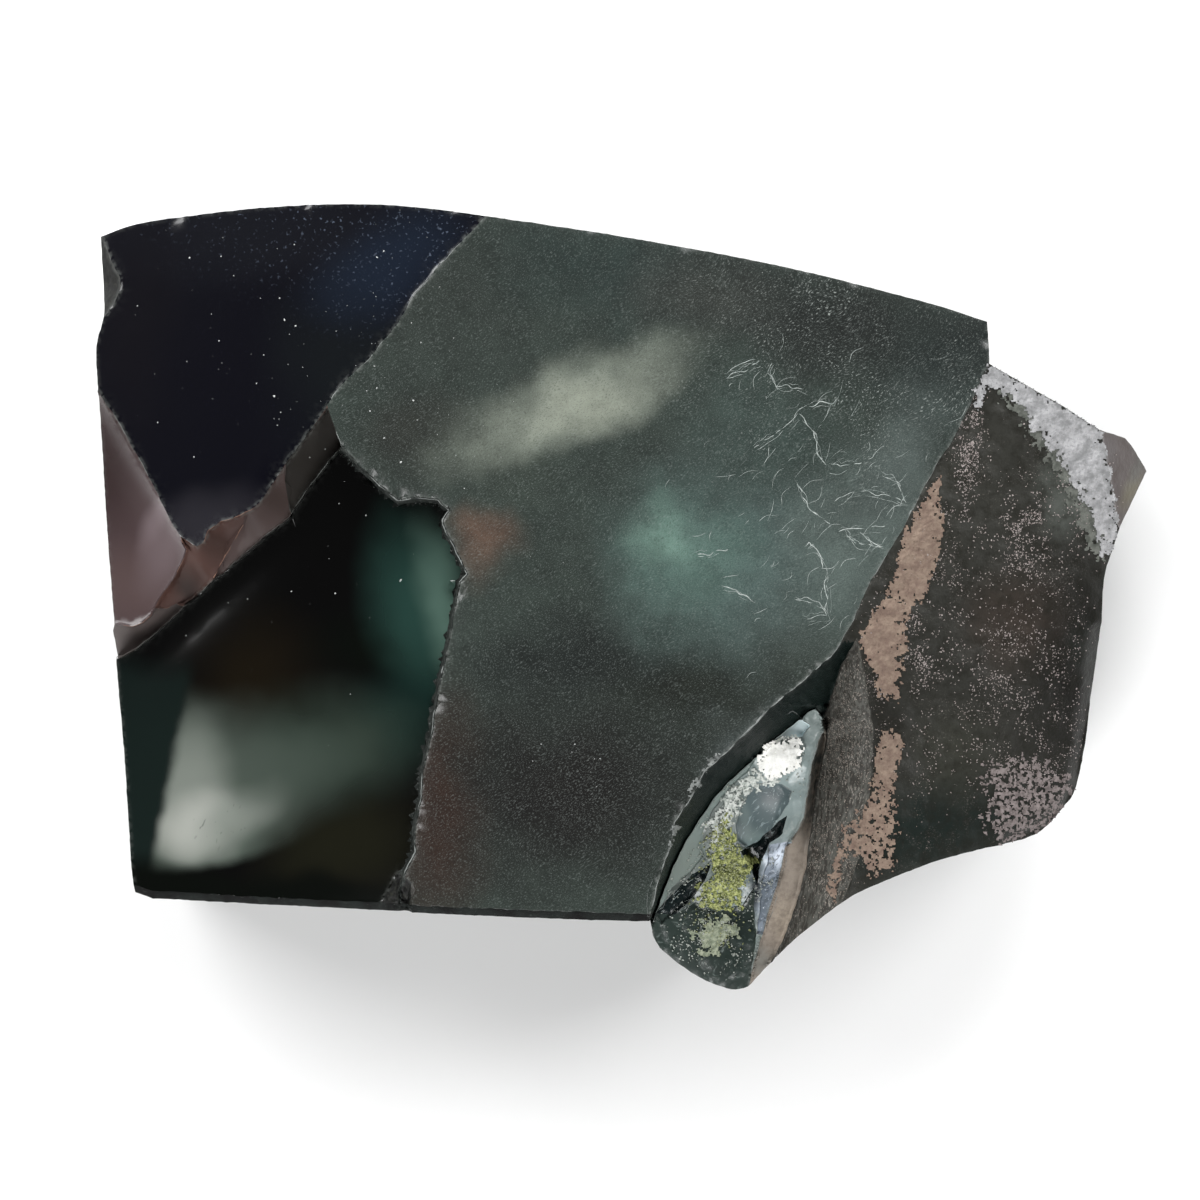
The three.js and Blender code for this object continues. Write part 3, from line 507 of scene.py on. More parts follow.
# Small shell-shaped nicks along the edges: place, depth and width
nicks = [
    (-81.0, 68.9, 0.3, 2.2), (-57.0, 71.0, 0.25, 1.3), (-31.0, 69.9, 0.3, 1.5),
    (-6.0, 66.1, 0.4, 1.2), (11.0, 63.1, 0.5, 1.4), (41.0, 56.7, 0.5, 1.3),
    (65.3, 45.9, 0.7, 1.6), (-40.0, 18.4, 0.8, 1.5), (-44.9, 21.7, 0.9, 1.7),
    (-30.0, 1.6, 0.9, 1.6), (-33.2, -18.6, 0.7, 1.4), (-37.0, -39.6, 0.9, 1.7),
    (33.9, -12.3, 0.45, 1.4), (24.1, -20.8, 0.4, 1.3), (16.0, -28.8, 0.45, 1.4),
    (9.8, -38.0, 0.5, 1.5), (6.4, -49.4, 0.4, 1.3), (-62.0, 21.4, 0.5, 1.2),
]


def grain_of(x, y, size, octaves=3, seed=0.0):
    """Even noise about zero, with lumps about size millimetres across."""
    flat_x, flat_y = np.ravel(x) / size, np.ravel(y) / size
    values = [noise.fractal(Vector((a, b, seed)), 1.0, 2.0, octaves) for a, b in zip(flat_x, flat_y)]
    return np.reshape(np.array(values), np.shape(x))


# For each face its lump height, its lump size and how far apart its net's points are
face_texture = {
    "top": (0.03, 5.0, 1.5), "dusk": (0.02, 7.0, 1.8), "scoop": (0.03, 6.0, 1.1),
    "ledge": (0.05, 3.5, 0.8), "basin": (0.03, 8.0, 1.2), "skin": (0.35, 2.2, 0.85),
    "wall": (0.45, 1.1, 0.5), "hollow": (0.16, 1.6, 0.5), "tan": (0.2, 1.2, 0.5),
    "streaked": (0.25, 1.3, 0.5), "tip": (0.15, 1.8, 0.7), "left chip": (0.2, 1.2, 0.6),
    "foot chip": (0.2, 1.0, 0.6), "mauve facet": (0.04, 2.5, 0.8), "grey facet": (0.06, 2.0, 0.8),
    "foot facet": (0.06, 1.8, 0.6), "pale strip": (0.06, 2.5, 0.5), "shell facet": (0.1, 3.0, 0.5),
    "blue facet": (0.16, 1.4, 0.5), "dark notch": (0.3, 1.2, 0.5), "dark pocket": (0.3, 1.2, 0.5),
    "lower hollow": (0.2, 1.8, 0.5),
}
facets_of = {
    "ledge": ("mauve facet", "grey facet", "foot facet"),
    "hollow": ("pale strip", "shell facet", "blue facet", "dark notch", "dark pocket",
               "lower hollow")}
names = ["top", *(b[0] for b in breaks)]
parent_of = {facet: parent for parent, facets in facets_of.items() for facet in facets}


def within(name, outline, number, x, y):
    """Where points are in a break's outline. A facet stays within the break it belongs to."""
    inside = is_inside(outline, x, y)
    if name in parent_of:
        parent = parent_of[name]
        home = [names.index(n) for n in (parent, *facets_of[parent])]
        inside &= np.isin(number, home)
    return inside


def faces_at(x, y):
    """For points in plan, the number of the face they are on, from 0 for the top face."""
    number = np.zeros(np.shape(x), int)
    for i, (name, outline, _, _) in enumerate(breaks):
        number[within(name, outline, number, x, y)] = i + 1
    return number


STEP_CHIPS_REACH = 1.4
STEP_CHIPS_DEPTH = 0.5
STEP_CHIPS_SIZE = 0.9


def height_at(x, y):
    """The height of the chunk's upper side at points in plan, in millimetres."""
    z = top_face(x, y)
    number = np.zeros(np.shape(x), int)
    for i, (name, outline, face, lip) in enumerate(breaks):
        near = within(name, outline, number, x, y)
        number[near] = i + 1
        if not near.any():
            continue
        px, py = x[near], y[near]
        depth = depth_in(outline, px, py)
        if name in parent_of:
            depth = np.minimum(depth, depth_in(breaks[names.index(parent_of[name]) - 1][1], px, py))
        t = np.clip(depth / lip, 0, 1)
        target = np.minimum(z[near], face(px, py))
        z[near] += (target - z[near]) * (1 - (1 - t) ** 2)
    for line, width, drop in bevels:
        z -= drop * np.clip(1 - distance_to(line, x, y) / width, 0, 1)
    rough = np.clip(1 - distance_to(chipped_step, x, y) / STEP_CHIPS_REACH, 0, 1)
    z -= STEP_CHIPS_DEPTH * rough * np.maximum(0.5 + grain_of(x, y, STEP_CHIPS_SIZE), 0)
    for nick_x, nick_y, depth, width in nicks:
        z -= np.maximum(depth * (1 - ((x - nick_x) ** 2 + (y - nick_y) ** 2) / width**2), 0)
    for i, name in enumerate(names):
        on = number == i
        if on.any():
            tall, size, _ = face_texture[name]
            z[on] += tall * grain_of(x[on], y[on], size, seed=i * 3.7)
    return z


# The mesh of the chunk
# The upper side is a net of triangles that follows every line above and is finest beside them.
# Its outer edge runs down the walls to the underside, with the shell-shaped scars of the blows.

all_lines = [
    ridge, dusk_lip, scoop_crest, scoop_floor_edge, basin_crest, chipped_step, ledge_to_ridge,
    skin_crest, top_lip, gully, wall_foot, hollow_ridge, crevice, skin_fold, tip_crest,
    left_chip, foot_chip, rubbed_from, *(np.array(line) for line in facet_lines)]
NET_JITTER = 0.3
CLEAR_OF_LINES = 0.75
CLEAR_OF_RIM = 0.2
ROWS_BY_LINES = (-0.62, -0.25, 0.25, 0.62)
ROWS_BY_RIM = (0.35, 0.8)


def left_of(along):
    """The directions to the left of those along a line, one millimetre long."""
    return np.column_stack([-along[:, 1], along[:, 0]]) / np.hypot(*along.T)[:, None]


def rows_beside(line, offsets):
    """Points in rows along both sides of a line."""
    aside = left_of(np.gradient(line[:, :2], axis=0))
    return np.vstack([line[:, :2] + aside * off for off in offsets])


def inner_points():
    """The net's points away from the lines, as dense as each face needs."""
    low, high = rim.min(axis=0), rim.max(axis=0)
    kept = []
    for spacing in sorted({texture[2] for texture in face_texture.values()}):
        gx, gy = np.meshgrid(np.arange(low[0], high[0], spacing),
                             np.arange(low[1], high[1], spacing))
        gx[1::2] += spacing / 2
        spread = np.random.default_rng(round(spacing * 100))
        gx = gx.ravel() + spread.uniform(-NET_JITTER, NET_JITTER, gx.size) * spacing
        gy = gy.ravel() + spread.uniform(-NET_JITTER, NET_JITTER, gy.size) * spacing
        wanted = [i for i, name in enumerate(names) if face_texture[name][2] == spacing]
        on = np.isin(faces_at(gx, gy), wanted) & is_inside(rim, gx, gy)
        kept.append(np.column_stack([gx[on], gy[on]]))
    return np.vstack(kept)


closed_rim = np.vstack([rim, rim[:1]])
inner = inner_points()
clear = np.ones(len(inner), bool)
for line in [*all_lines, closed_rim]:
    clear &= distance_to(line, inner[:, 0], inner[:, 1]) > CLEAR_OF_LINES
inner = inner[clear]
beside = np.vstack([*(rows_beside(line, ROWS_BY_LINES) for line in all_lines),
                    rows_beside(rim, ROWS_BY_RIM)])
close_to_rim = distance_to(closed_rim, beside[:, 0], beside[:, 1]) < CLEAR_OF_RIM
beside = beside[is_inside(rim, beside[:, 0], beside[:, 1]) & ~close_to_rim]

net_points = [rim, inner, beside]
net_edges = [(i, (i + 1) % len(rim)) for i in range(len(rim))]
start = len(rim) + len(inner) + len(beside)
for line in all_lines:
    net_points.append(line[:, :2])
    net_edges += [(start + i, start + i + 1) for i in range(len(line) - 1)]
    start += len(line)
cloud = [Vector(p) for p in np.vstack(net_points)]
made_points, _, made_faces, *_ = delaunay_2d_cdt(cloud, net_edges, [], 0, 1e-4, False)
plan = np.array([tuple(p) for p in made_points])
triangles = np.array(made_faces)
centres = plan[triangles].mean(axis=1)
triangles = triangles[is_inside(rim, centres[:, 0], centres[:, 1])]
used, flat_index = np.unique(triangles, return_inverse=True)
plan, triangles = plan[used], flat_index.reshape(-1, 3)
turned = np.cross(plan[triangles[:, 1]] - plan[triangles[:, 0]],
                  plan[triangles[:, 2]] - plan[triangles[:, 0]]) < 0
triangles[turned] = triangles[turned][:, ::-1]
centres = plan[triangles].mean(axis=1)

edge_from = np.vstack([triangles[:, [0, 1]], triangles[:, [1, 2]], triangles[:, [2, 0]]])
both_ways = {(a, b) for a, b in edge_from}
follows = {a: b for a, b in edge_from if (b, a) not in both_ways}
loop = [min(follows)]
while follows[loop[-1]] != loop[0]:
    loop.append(follows[loop[-1]])
loop = np.array(loop)

upper = np.column_stack([plan, height_at(plan[:, 0], plan[:, 1])])

# A corner on a line between two breaks stands no higher than the higher of its two sides
SIDE_OFF = 0.5
ON_LINE = 0.16
OVER_SIDES = 0.12
beside_the_line = np.full(len(plan), -1.0)
for line in all_lines:
    line = np.asarray(line)[:, :2]
    left, right = rows_beside(line, (-SIDE_OFF,)), rows_beside(line, (SIDE_OFF,))
    sides = np.maximum(height_at(left[:, 0], left[:, 1]), height_at(right[:, 0], right[:, 1]))
    on_line, side_height = distance_to(np.column_stack([line, sides]), plan[:, 0], plan[:, 1],
                                       with_height=True)
    higher = np.maximum(beside_the_line, side_height + OVER_SIDES)
    beside_the_line = np.where(on_line < ON_LINE, higher, beside_the_line)
capped = beside_the_line > 0
upper[capped, 2] = np.minimum(upper[capped, 2], beside_the_line[capped])

# Shell-shaped scars of the blows that broke the walls: a ball's middle, and its reach in X, Y, Z
wall_scars = [
    ((-60, -108, -2), (65, 62, 34)), ((-14, -107, 4), (36, 60, 30)),
    ((-34, -116.5, 34), (56, 62, 26)), ((-140, -26, 4), (56, 39, 34)),
    ((-148.5, 36, 27), (60, 48, 24)), ((-104, 8, 0), (19, 30, 17)),
    ((142, -22, 17), (62, 43, 31)), ((88, 62, 10), (34, 34, 34)),
    ((14, -92, -4), (30, 30, 30)), ((-70, 90, -4), (44, 26, 21)), ((20, 80.5, -6), (31, 24, 22)),
]
WALL_LEVELS = 44
DEEPEST_SCAR = 9
SCARS_START = 3.0
CAST_ROUGH = 0.22
BROKEN_ROUGH = 0.75
FURTHEST_OUT = 0.15
WAVE, WAVE_TALL = 6, 3.5
RIPPLE, RIPPLE_TALL = 1.3, 2.6
RIPPLE_SHARE = 0.35
UNDERCUT_BEND = 2.2

rim_at = upper[loop]
gap = np.hypot(rim_at[:, None, 0] - rim[None, :, 0], rim_at[:, None, 1] - rim[None, :, 1])
nearest = gap.argmin(axis=1)
ahead = np.roll(rim_at[:, :2], -4, axis=0) - np.roll(rim_at[:, :2], 4, axis=0)
inward = left_of(ahead)
is_cast = rim_is_cast[nearest]
foot, waist = rim_foot[nearest], rim_waist[nearest]
walls = []
for level in range(1, WALL_LEVELS + 1):
    z = rim_at[:, 2] * (1 - level / WALL_LEVELS)
    share = np.maximum(1 - z / waist, 0) ** UNDERCUT_BEND
    at = rim_at[:, :2] * (1 - (1 - foot) * share)[:, None]
    sunk = np.zeros(len(loop))
    for (cx, cy, cz), reach in wall_scars:
        off = np.column_stack([at, z]) - (cx, cy, cz)
        step = np.column_stack([inward, np.zeros(len(loop))]) / reach
        off = off / reach
        a, b, c = (step**2).sum(1), (step * off).sum(1), (off**2).sum(1) - 1
        reached = (c < 0) & (b * b - a * c > 0)
        out = (-b + np.sqrt(np.maximum(b * b - a * c, 0))) / a
        sunk = np.maximum(sunk, np.where(reached, np.minimum(out, DEEPEST_SCAR), 0))
    fade = np.clip((rim_at[:, 2] - z) / SCARS_START, 0, 1)
    waves = np.array([
        noise.fractal(Vector((x / WAVE, y / WAVE, h / WAVE_TALL)), 1.0, 2.0, 3)
        + RIPPLE_SHARE
        * noise.fractal(Vector((x / RIPPLE, y / RIPPLE, h / RIPPLE_TALL)), 1.0, 2.0, 2)
        for (x, y), h in zip(at, z)])
    sunk = fade * (sunk + np.where(is_cast, CAST_ROUGH, BROKEN_ROUGH) * (0.45 + waves))
    walls.append(np.column_stack([at + inward * np.maximum(sunk, -FURTHEST_OUT)[:, None], z]))

# The underside is cast: level where it rests, and a little hollow here and there
BASE_SPACING = 3.5
BASE_MARGIN = 1.2
BASE_HOLLOW = 0.5
BASE_LUMP = 14.0
base_rim = walls[-1][:, :2]
bx, by = np.meshgrid(np.arange(-92, 92, BASE_SPACING), np.arange(-68, 70, BASE_SPACING))
bx, by = bx.ravel(), by.ravel()
well_in = depth_in(base_rim, bx, by) > BASE_MARGIN
base_cloud = np.vstack([base_rim, np.column_stack([bx, by])[well_in]])
base_edges = [(i, (i + 1) % len(loop)) for i in range(len(loop))]
base_plan, _, base_faces, *_ = delaunay_2d_cdt(
    [Vector(p) for p in base_cloud], base_edges, [], 0, 1e-5, False)
base_plan = np.array([tuple(p) for p in base_plan])
base_faces = np.array(base_faces)
base_middles = base_plan[base_faces].mean(axis=1)
base_faces = base_faces[is_inside(base_rim, base_middles[:, 0], base_middles[:, 1])]
base_z = BASE_HOLLOW * np.clip(depth_in(base_rim, *base_plan.T) / 6, 0, 1)
base_z *= np.clip(0.5 + grain_of(*base_plan.T, BASE_LUMP), 0, 1)

points = np.vstack([upper, *walls, np.column_stack([base_plan, base_z])])
rings = [loop] + [len(upper) + i * len(loop) + np.arange(len(loop)) for i in range(WALL_LEVELS)]
quads = []
for above, below in zip(rings, rings[1:]):
    quads.append(np.column_stack([np.roll(above, -1), above, below, np.roll(below, -1)]))
quads = np.vstack(quads)
base_start = len(upper) + WALL_LEVELS * len(loop)
a, b, c = base_plan[base_faces].transpose(1, 0, 2)
base_up = np.cross(b - a, c - a) > 0
base_faces[base_up] = base_faces[base_up][:, ::-1]
polygons = [*triangles.tolist(), *quads.tolist(), *(base_faces + base_start).tolist()]


def piece(name, corners, faces, body="root"):
    """A mesh of the object from corners in millimetres. It moves with the chunk's body."""
    mesh = bpy.data.meshes.new(name)
    mesh.from_pydata((np.asarray(corners) * MM).tolist(), [], faces)
    mesh.validate()
    made = bpy.data.objects.new(name, mesh)
    bpy.context.scene.collection.objects.link(made)
    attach(made, body)
    return made


SAME_CORNER = 0.004
SHARP_FROM = 32
chunk = piece("glass_chunk_surface", points, polygons)
mesh = chunk.data
BROKEN_SIDE, CAST_SIDE, CHIPPED_STEP, RUBBED_EDGE = range(len(names), len(names) + 4)
wall_kind = np.where(is_cast & np.roll(is_cast, -1), CAST_SIDE, BROKEN_SIDE)
on_face = faces_at(centres[:, 0], centres[:, 1])
step_away = distance_to(chipped_step, centres[:, 0], centres[:, 1])
on_step = step_away < np.where(on_face == names.index("basin"), 0.95, 0.35)
on_face[on_step] = CHIPPED_STEP
on_face[is_inside(rubbed_edge, centres[:, 0], centres[:, 1])] = RUBBED_EDGE
face_kind = np.concatenate([
    on_face, np.tile(wall_kind, WALL_LEVELS), np.full(len(base_faces), CAST_SIDE)])
mesh.polygons.foreach_set("material_index", face_kind.astype(np.int32))
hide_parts("glass_chunk")
shape = bmesh.new()
shape.from_mesh(mesh)
bmesh.ops.remove_doubles(shape, verts=shape.verts, dist=SAME_CORNER * MM)
shape.to_mesh(mesh)
shape.free()
mesh.shade_smooth()
mesh.set_sharp_from_angle(angle=math.radians(SHARP_FROM))

# The glass and how its faces are weathered
# Furnace glass so dark that little light comes through more than a few millimetres of it.
# Fresh breaks are glossy, the old top is scuffed to a haze, and one side has a weathered skin.


def linear(code, alpha=1.0):
    """An sRGB hex colour as linear red, green, blue and alpha."""
    parts = [int(code[i:i + 2], 16) / 255 for i in (1, 3, 5)]
    return (*[p / 12.92 if p <= 0.04045 else ((p + 0.055) / 1.055) ** 2.4 for p in parts], alpha)


# what the lights give a level matt white surface, and what glass reflects of a dim room
# each face and crust below gets its own light: where this scene lights it less than a level top its
# base colour is painted paler, which is painted light, and where it lights it more it is painted
# darker, which is painted shade
LIGHT_ON_TOP = 1.42
SHEEN_OF_ROOM = 0.004


def seen(code, light=LIGHT_ON_TOP, sheen=SHEEN_OF_ROOM):
    """The base colour that looks like an sRGB hex colour on a face with that light and sheen."""
    return tuple(max((v - sheen) / light, 0.0012) for v in linear(code)[:3]) + (1,)


def add(tree, kind, inputs=None, **settings):
    """Adds a node with its settings. An input is given by name or place, as a value or a link."""
    made = tree.nodes.new(kind)
    for name, value in settings.items():
        setattr(made, name, value)
    for name, value in (inputs or {}).items():
        if isinstance(value, bpy.types.NodeSocket):
            tree.links.new(value, made.inputs[name])
        else:
            made.inputs[name].default_value = value
    return made


def mixed(tree, factor, first, second, blend="MIX"):
    """Colour first turned into second by factor."""
    mix = add(tree, "ShaderNodeMix", {0: factor, 6: first, 7: second}, data_type="RGBA",
              blend_type=blend)
    return mix.outputs[2]


def scaled(tree, factor, low, high, to_low=0.0, to_high=1.0):
    """Factor from low to high as to_low to to_high, eased at both ends."""
    made = add(tree, "ShaderNodeMapRange", {0: factor, 1: low, 2: high, 3: to_low, 4: to_high},
               interpolation_type="SMOOTHSTEP")
    return made.outputs[0]


def sum_of(tree, *factors, operation="ADD"):
    """The factors added up, or joined by another operation."""
    total = factors[0]
    for factor in factors[1:]:
        total = add(tree, "ShaderNodeMath", {0: total, 1: factor}, operation=operation).outputs[0]
    return total


def noise_of(tree, place, size, detail=2.0, roughness=0.5, distortion=0.0):
    """Noise with lumps about size millimetres across, about 0.5."""
    made = add(tree, "ShaderNodeTexNoise",
               {"Vector": place, "Scale": 1 / (size * MM), "Detail": detail,
                "Roughness": roughness, "Distortion": distortion})
    return made.outputs["Fac"]


def stretched(tree, place, turn, long, size, detail=1.0):
    """Noise drawn out along a direction in plan, long times its width."""
    turned = add(tree, "ShaderNodeMapping",
                 {"Vector": place, "Rotation": (0, 0, math.radians(turn)),
                  "Scale": (long, 1, 1)}, vector_type="TEXTURE")
    return noise_of(tree, turned.outputs[0], size, detail)


def wavered(tree, place, size, amount):
    """The place moved about by soft noise, so that clouds have no even outline."""
    cloud = add(tree, "ShaderNodeTexNoise", {"Vector": place, "Scale": 1 / (size * MM),
                                            "Detail": 2.0})
    centred = add(tree, "ShaderNodeVectorMath", {0: cloud.outputs["Color"], 1: (0.5, 0.5, 0.5)},
                  operation="SUBTRACT")
    moved = add(tree, "ShaderNodeVectorMath",
                {0: centred.outputs[0], 1: (amount * MM, amount * MM, 0)}, operation="MULTIPLY")
    return add(tree, "ShaderNodeVectorMath", {0: place, 1: moved.outputs[0]},
               operation="ADD").outputs[0]


def clouded(tree, place, ground, clouds, light=LIGHT_ON_TOP, sheen=SHEEN_OF_ROOM):
    """A colour with soft clouds: (x, y, half length, half width, turn, colour, strength)."""
    colour = seen(ground, light, sheen)
    for x, y, long, wide, turn, code, strength in clouds:
        local = add(tree, "ShaderNodeMapping",
                    {"Vector": place, "Location": (x * MM, y * MM, 0.05),
                     "Rotation": (0, 0, math.radians(turn)),
                     "Scale": (long * MM, wide * MM, 0.2)}, vector_type="TEXTURE")
        ball = add(tree, "ShaderNodeTexGradient", {"Vector": local.outputs[0]},
                   gradient_type="SPHERICAL")
        soft = scaled(tree, ball.outputs["Fac"], 0.0, 0.9, 0.0, strength)
        colour = mixed(tree, soft, colour, seen(code, light, sheen))
    return colour


def across(tree, place, x, y, turn, soft):
    """0 to 1 across the line through a point, in the direction of turn, eased over soft mm."""
    local = add(tree, "ShaderNodeMapping",
                {"Vector": place, "Location": (x * MM, y * MM, 0),
                 "Rotation": (0, 0, math.radians(turn)), "Scale": (soft * MM, soft * MM, soft * MM)},
                vector_type="TEXTURE")
    parts = add(tree, "ShaderNodeSeparateXYZ", {0: local.outputs[0]})
    return scaled(tree, parts.outputs["X"], -0.5, 0.5)


def marked(tree, colour, factor, low, high, strength, code, light=LIGHT_ON_TOP):
    """A colour with marks of another: none where factor is at low, at full strength at high."""
    return mixed(tree, scaled(tree, factor, low, high, 0.0, strength), colour, seen(code, light))


def started(name, **settings):
    """A new material with its nodes and its shader, whose sockets get constant settings."""
    material = bpy.data.materials.new(name)
    material.use_nodes = True
    shader = material.node_tree.nodes["Principled BSDF"]
    for socket, value in settings.items():
        shader.inputs[socket.replace("_", " ")].default_value = value
    return material, material.node_tree, shader


# How uneven each kind of break is: the lumps' size in mm, the noise's detail and roughness, and
# the strength and the height in mm of the bumps
DUSK_RELIEF = (0.9, 2.0, 0.5, 0.12, 0.05)
SMOOTH_RELIEF = (5, 2.0, 0.5, 0.05, 0.05)
SKIN_RELIEF = (0.9, 4.0, 0.65, 0.6, 0.25)
WALL_RELIEF = (0.5, 4.0, 0.7, 0.8, 0.3)
HOLLOW_RELIEF = (2.0, 4.0, 0.6, 0.5, 0.3)
ETCHED_RELIEF = (2.5, 2.0, 0.5, 0.15, 0.15)
EDGE_RELIEF = (0.6, 4.0, 0.7, 0.6, 0.2)
SIDE_RELIEF = (3.0, 4.0, 0.6, 0.25, 0.25)
CAST_RELIEF = (1.2, 4.0, 0.65, 0.5, 0.2)
GLASS_IOR = 1.52
CHIP_SIZE = 0.9
pale_chips = linear("#8d918d")


def glass(name, roughness, paint, relief, chips=0.55, specular=0.5):
    """One kind of glass surface. paint is a function of the tree and the place, relief is one
    too or a row of numbers. Along its edges the glass is crushed to pale chips."""
    material, tree, shader = started(name, IOR=GLASS_IOR, Specular_IOR_Level=specular,
                                     Roughness=roughness)
    place = add(tree, "ShaderNodeTexCoord").outputs["Object"]
    colour = paint(tree, place)
    edge = add(tree, "ShaderNodeAttribute", attribute_name="chipped").outputs["Fac"]
    broken = noise_of(tree, place, CHIP_SIZE, 3.0)
    pale = sum_of(tree, edge, scaled(tree, broken, 0.38, 0.62), chips, operation="MULTIPLY")
    colour = mixed(tree, pale, colour, pale_chips)
    tree.links.new(colour, shader.inputs["Base Color"])
    if callable(relief):
        height, strength, reach = relief(tree, place)
    else:
        *lumps, strength, reach = relief
        height = noise_of(tree, place, *lumps)
    bump = add(tree, "ShaderNodeBump", {"Height": height, "Strength": strength,
                                       "Distance": reach * MM})
    tree.links.new(bump.outputs[0], shader.inputs["Normal"])
    return material


def paint_top(tree, place):
    """The hazy old top: grey-green clouding under it, a pale streak of painted reflection, grey where
    it is scuffed, and fine strokes of grit wear that make it dull."""
    soft = wavered(tree, place, 16, 16)
    clouds = [
        (-33, 54, 26, 26, 0, "#404542", 0.8), (0, 58, 40, 14, -10, "#3c4543", 0.8),
        (37, 50, 42, 16, -14, "#363837", 0.9), (58, 40, 20, 18, 0, "#3a403f", 0.7),
        (-11, -34, 40, 26, 0, "#2f2e2c", 0.95), (-33, -38, 13, 32, 0, "#403531", 0.9),
        (13, -15, 26, 16, 0, "#323431", 0.9), (28, -8, 14, 12, 0, "#4a4f4b", 0.7),
        (-9, -10, 26, 13, 10, "#333635", 0.9), (-20, 22, 14, 10, 0, "#4b524c", 0.5),
        (20, 7, 30, 26, 0, "#5a6966", 0.95), (41, 8, 20, 26, -20, "#636e6a", 0.9),
        (11, 8, 17, 17, -35, "#5f756e", 1.0), (8, 12.5, 9, 8, 0, "#7a978b", 0.75),
        # the pale streak in the next row is a painted reflection of a soft light
        (-10.5, 35, 32, 10.5, 22, "#939a8e", 1.0), (-9, 35, 14, 6, 22, "#a2a798", 0.45),
        (-26, 10, 10, 9, 0, "#6f5b50", 0.8), (22, -26, 15, 8, 35, "#5d6464", 0.8),
        (-38, 29, 12, 12, 0, "#3e403d", 0.9), (14, 54, 20, 12, -10, "#464946", 0.9),
        (24, 29, 20, 16, 20, "#4a5551", 0.9), (50, 25, 12, 22, -27, "#5c6562", 1.0),
        (62, 44, 12, 12, 0, "#343837", 0.9),
    ]
    colour = clouded(tree, soft, "#434a46", clouds, sheen=0.025)
    mottle = noise_of(tree, place, 5, 5.0, 0.65)
    colour = mixed(tree, scaled(tree, mottle, 0.3, 0.7, 0.0, 0.3), colour,
                   seen("#20231f"), "MULTIPLY")
    # a fine grain of tiny pits all over, and bolder strokes of grit wear towards the far right
    flow = wavered(tree, place, 12, 5)
    grain = stretched(tree, flow, 35, 1.8, 0.18, 3.0)
    colour = marked(tree, colour, grain, 0.52, 0.74, 0.28, "#98a19d")
    colour = marked(tree, colour, grain, 0.48, 0.3, 0.42, "#0c0e0d")
    worn = clouded(tree, place, "#000000", [(46, 42, 64, 40, -20, "#ffffff", 1.0),
                                            (10, -36, 50, 26, 0, "#ffffff", 0.35)], 1, 0)
    streaks = stretched(tree, flow, 35, 2.2, 0.22, 1.0)
    dense = noise_of(tree, place, 9, 3.0)
    specks = sum_of(tree, scaled(tree, streaks, 0.6, 0.76, 0, 0.7), worn,
                    scaled(tree, dense, 0.3, 0.65), operation="MULTIPLY")
    return mixed(tree, specks, colour, seen("#b9c0bb"))


def bumps_top(tree, place):
    """The fine strokes of grit wear, all one way."""
    flow = wavered(tree, place, 12, 5)
    return stretched(tree, flow, 35, 4.0, 0.4), 0.35, 0.05


def paint_dusk(tree, place):
    """Fresh dark glass, glossy and all but black, with a painted reflection of the dim blue room in
    it.
    """
    clouds = [
        (-60, 66, 50, 14, 0, "#191a1f", 0.9), (-74, 13, 16, 10, 20, "#2a292e", 1.0),
        (-50, 42, 22, 20, 40, "#181b1d", 0.8), (-88, 50, 12, 30, 0, "#151418", 0.7),
        (-42, 60, 20, 12, 30, "#1d2430", 0.9),
    ]
    colour = clouded(tree, wavered(tree, place, 16, 10), "#100f17", clouds)
    # the hammered cast skin reaches over the upper right of this face
    dimples = noise_of(tree, place, 0.7, 3.0, 0.6)
    far = across(tree, wavered(tree, place, 8, 8), -50, 55, 65, 26)
    marks = sum_of(tree, scaled(tree, dimples, 0.6, 0.72, 0.0, 0.75), far, operation="MULTIPLY")
    return mixed(tree, marks, colour, seen("#5a6372"))


def paint_scoop(tree, place):
    """A smooth, shiny shell break whose mauve-brown is painted reflection, with a painted highlight.
    """
    clouds = [
        (-94, 26, 11, 22, 8, "#362b2b", 1.0), (-88, 3, 12, 10, 0, "#544544", 0.85),
        # the two clouds in the next row are a painted highlight
        (-83, 8, 6, 11, -22, "#675a5c", 1.0), (-84, 14, 3, 8, -24, "#75686b", 0.7),
    ]
    return clouded(tree, wavered(tree, place, 10, 3), "#4b3e3f", clouds)


def paint_ledge(tree, place):
    """Brown stained ledge, matt from damp soil."""
    clouds = [
        (-56, 27, 14, 10, 45, "#2f2f2e", 0.9), (-66, 12, 18, 8, 45, "#453836", 0.8),
        # the dark clouds at (-73, 9.5) and (-77.5, 1.5) are painted shade, where this scene lights the
        # red facet more
        (-84, -6, 16, 6, 30, "#574744", 0.8), (-73, 9.5, 4, 7, 30, "#3d2e2a", 0.8),
        (-77.5, 1.5, 5, 7, 30, "#2b201d", 0.9),
    ]
    return clouded(tree, wavered(tree, place, 8, 4), "#513a34", clouds, light=1.35)


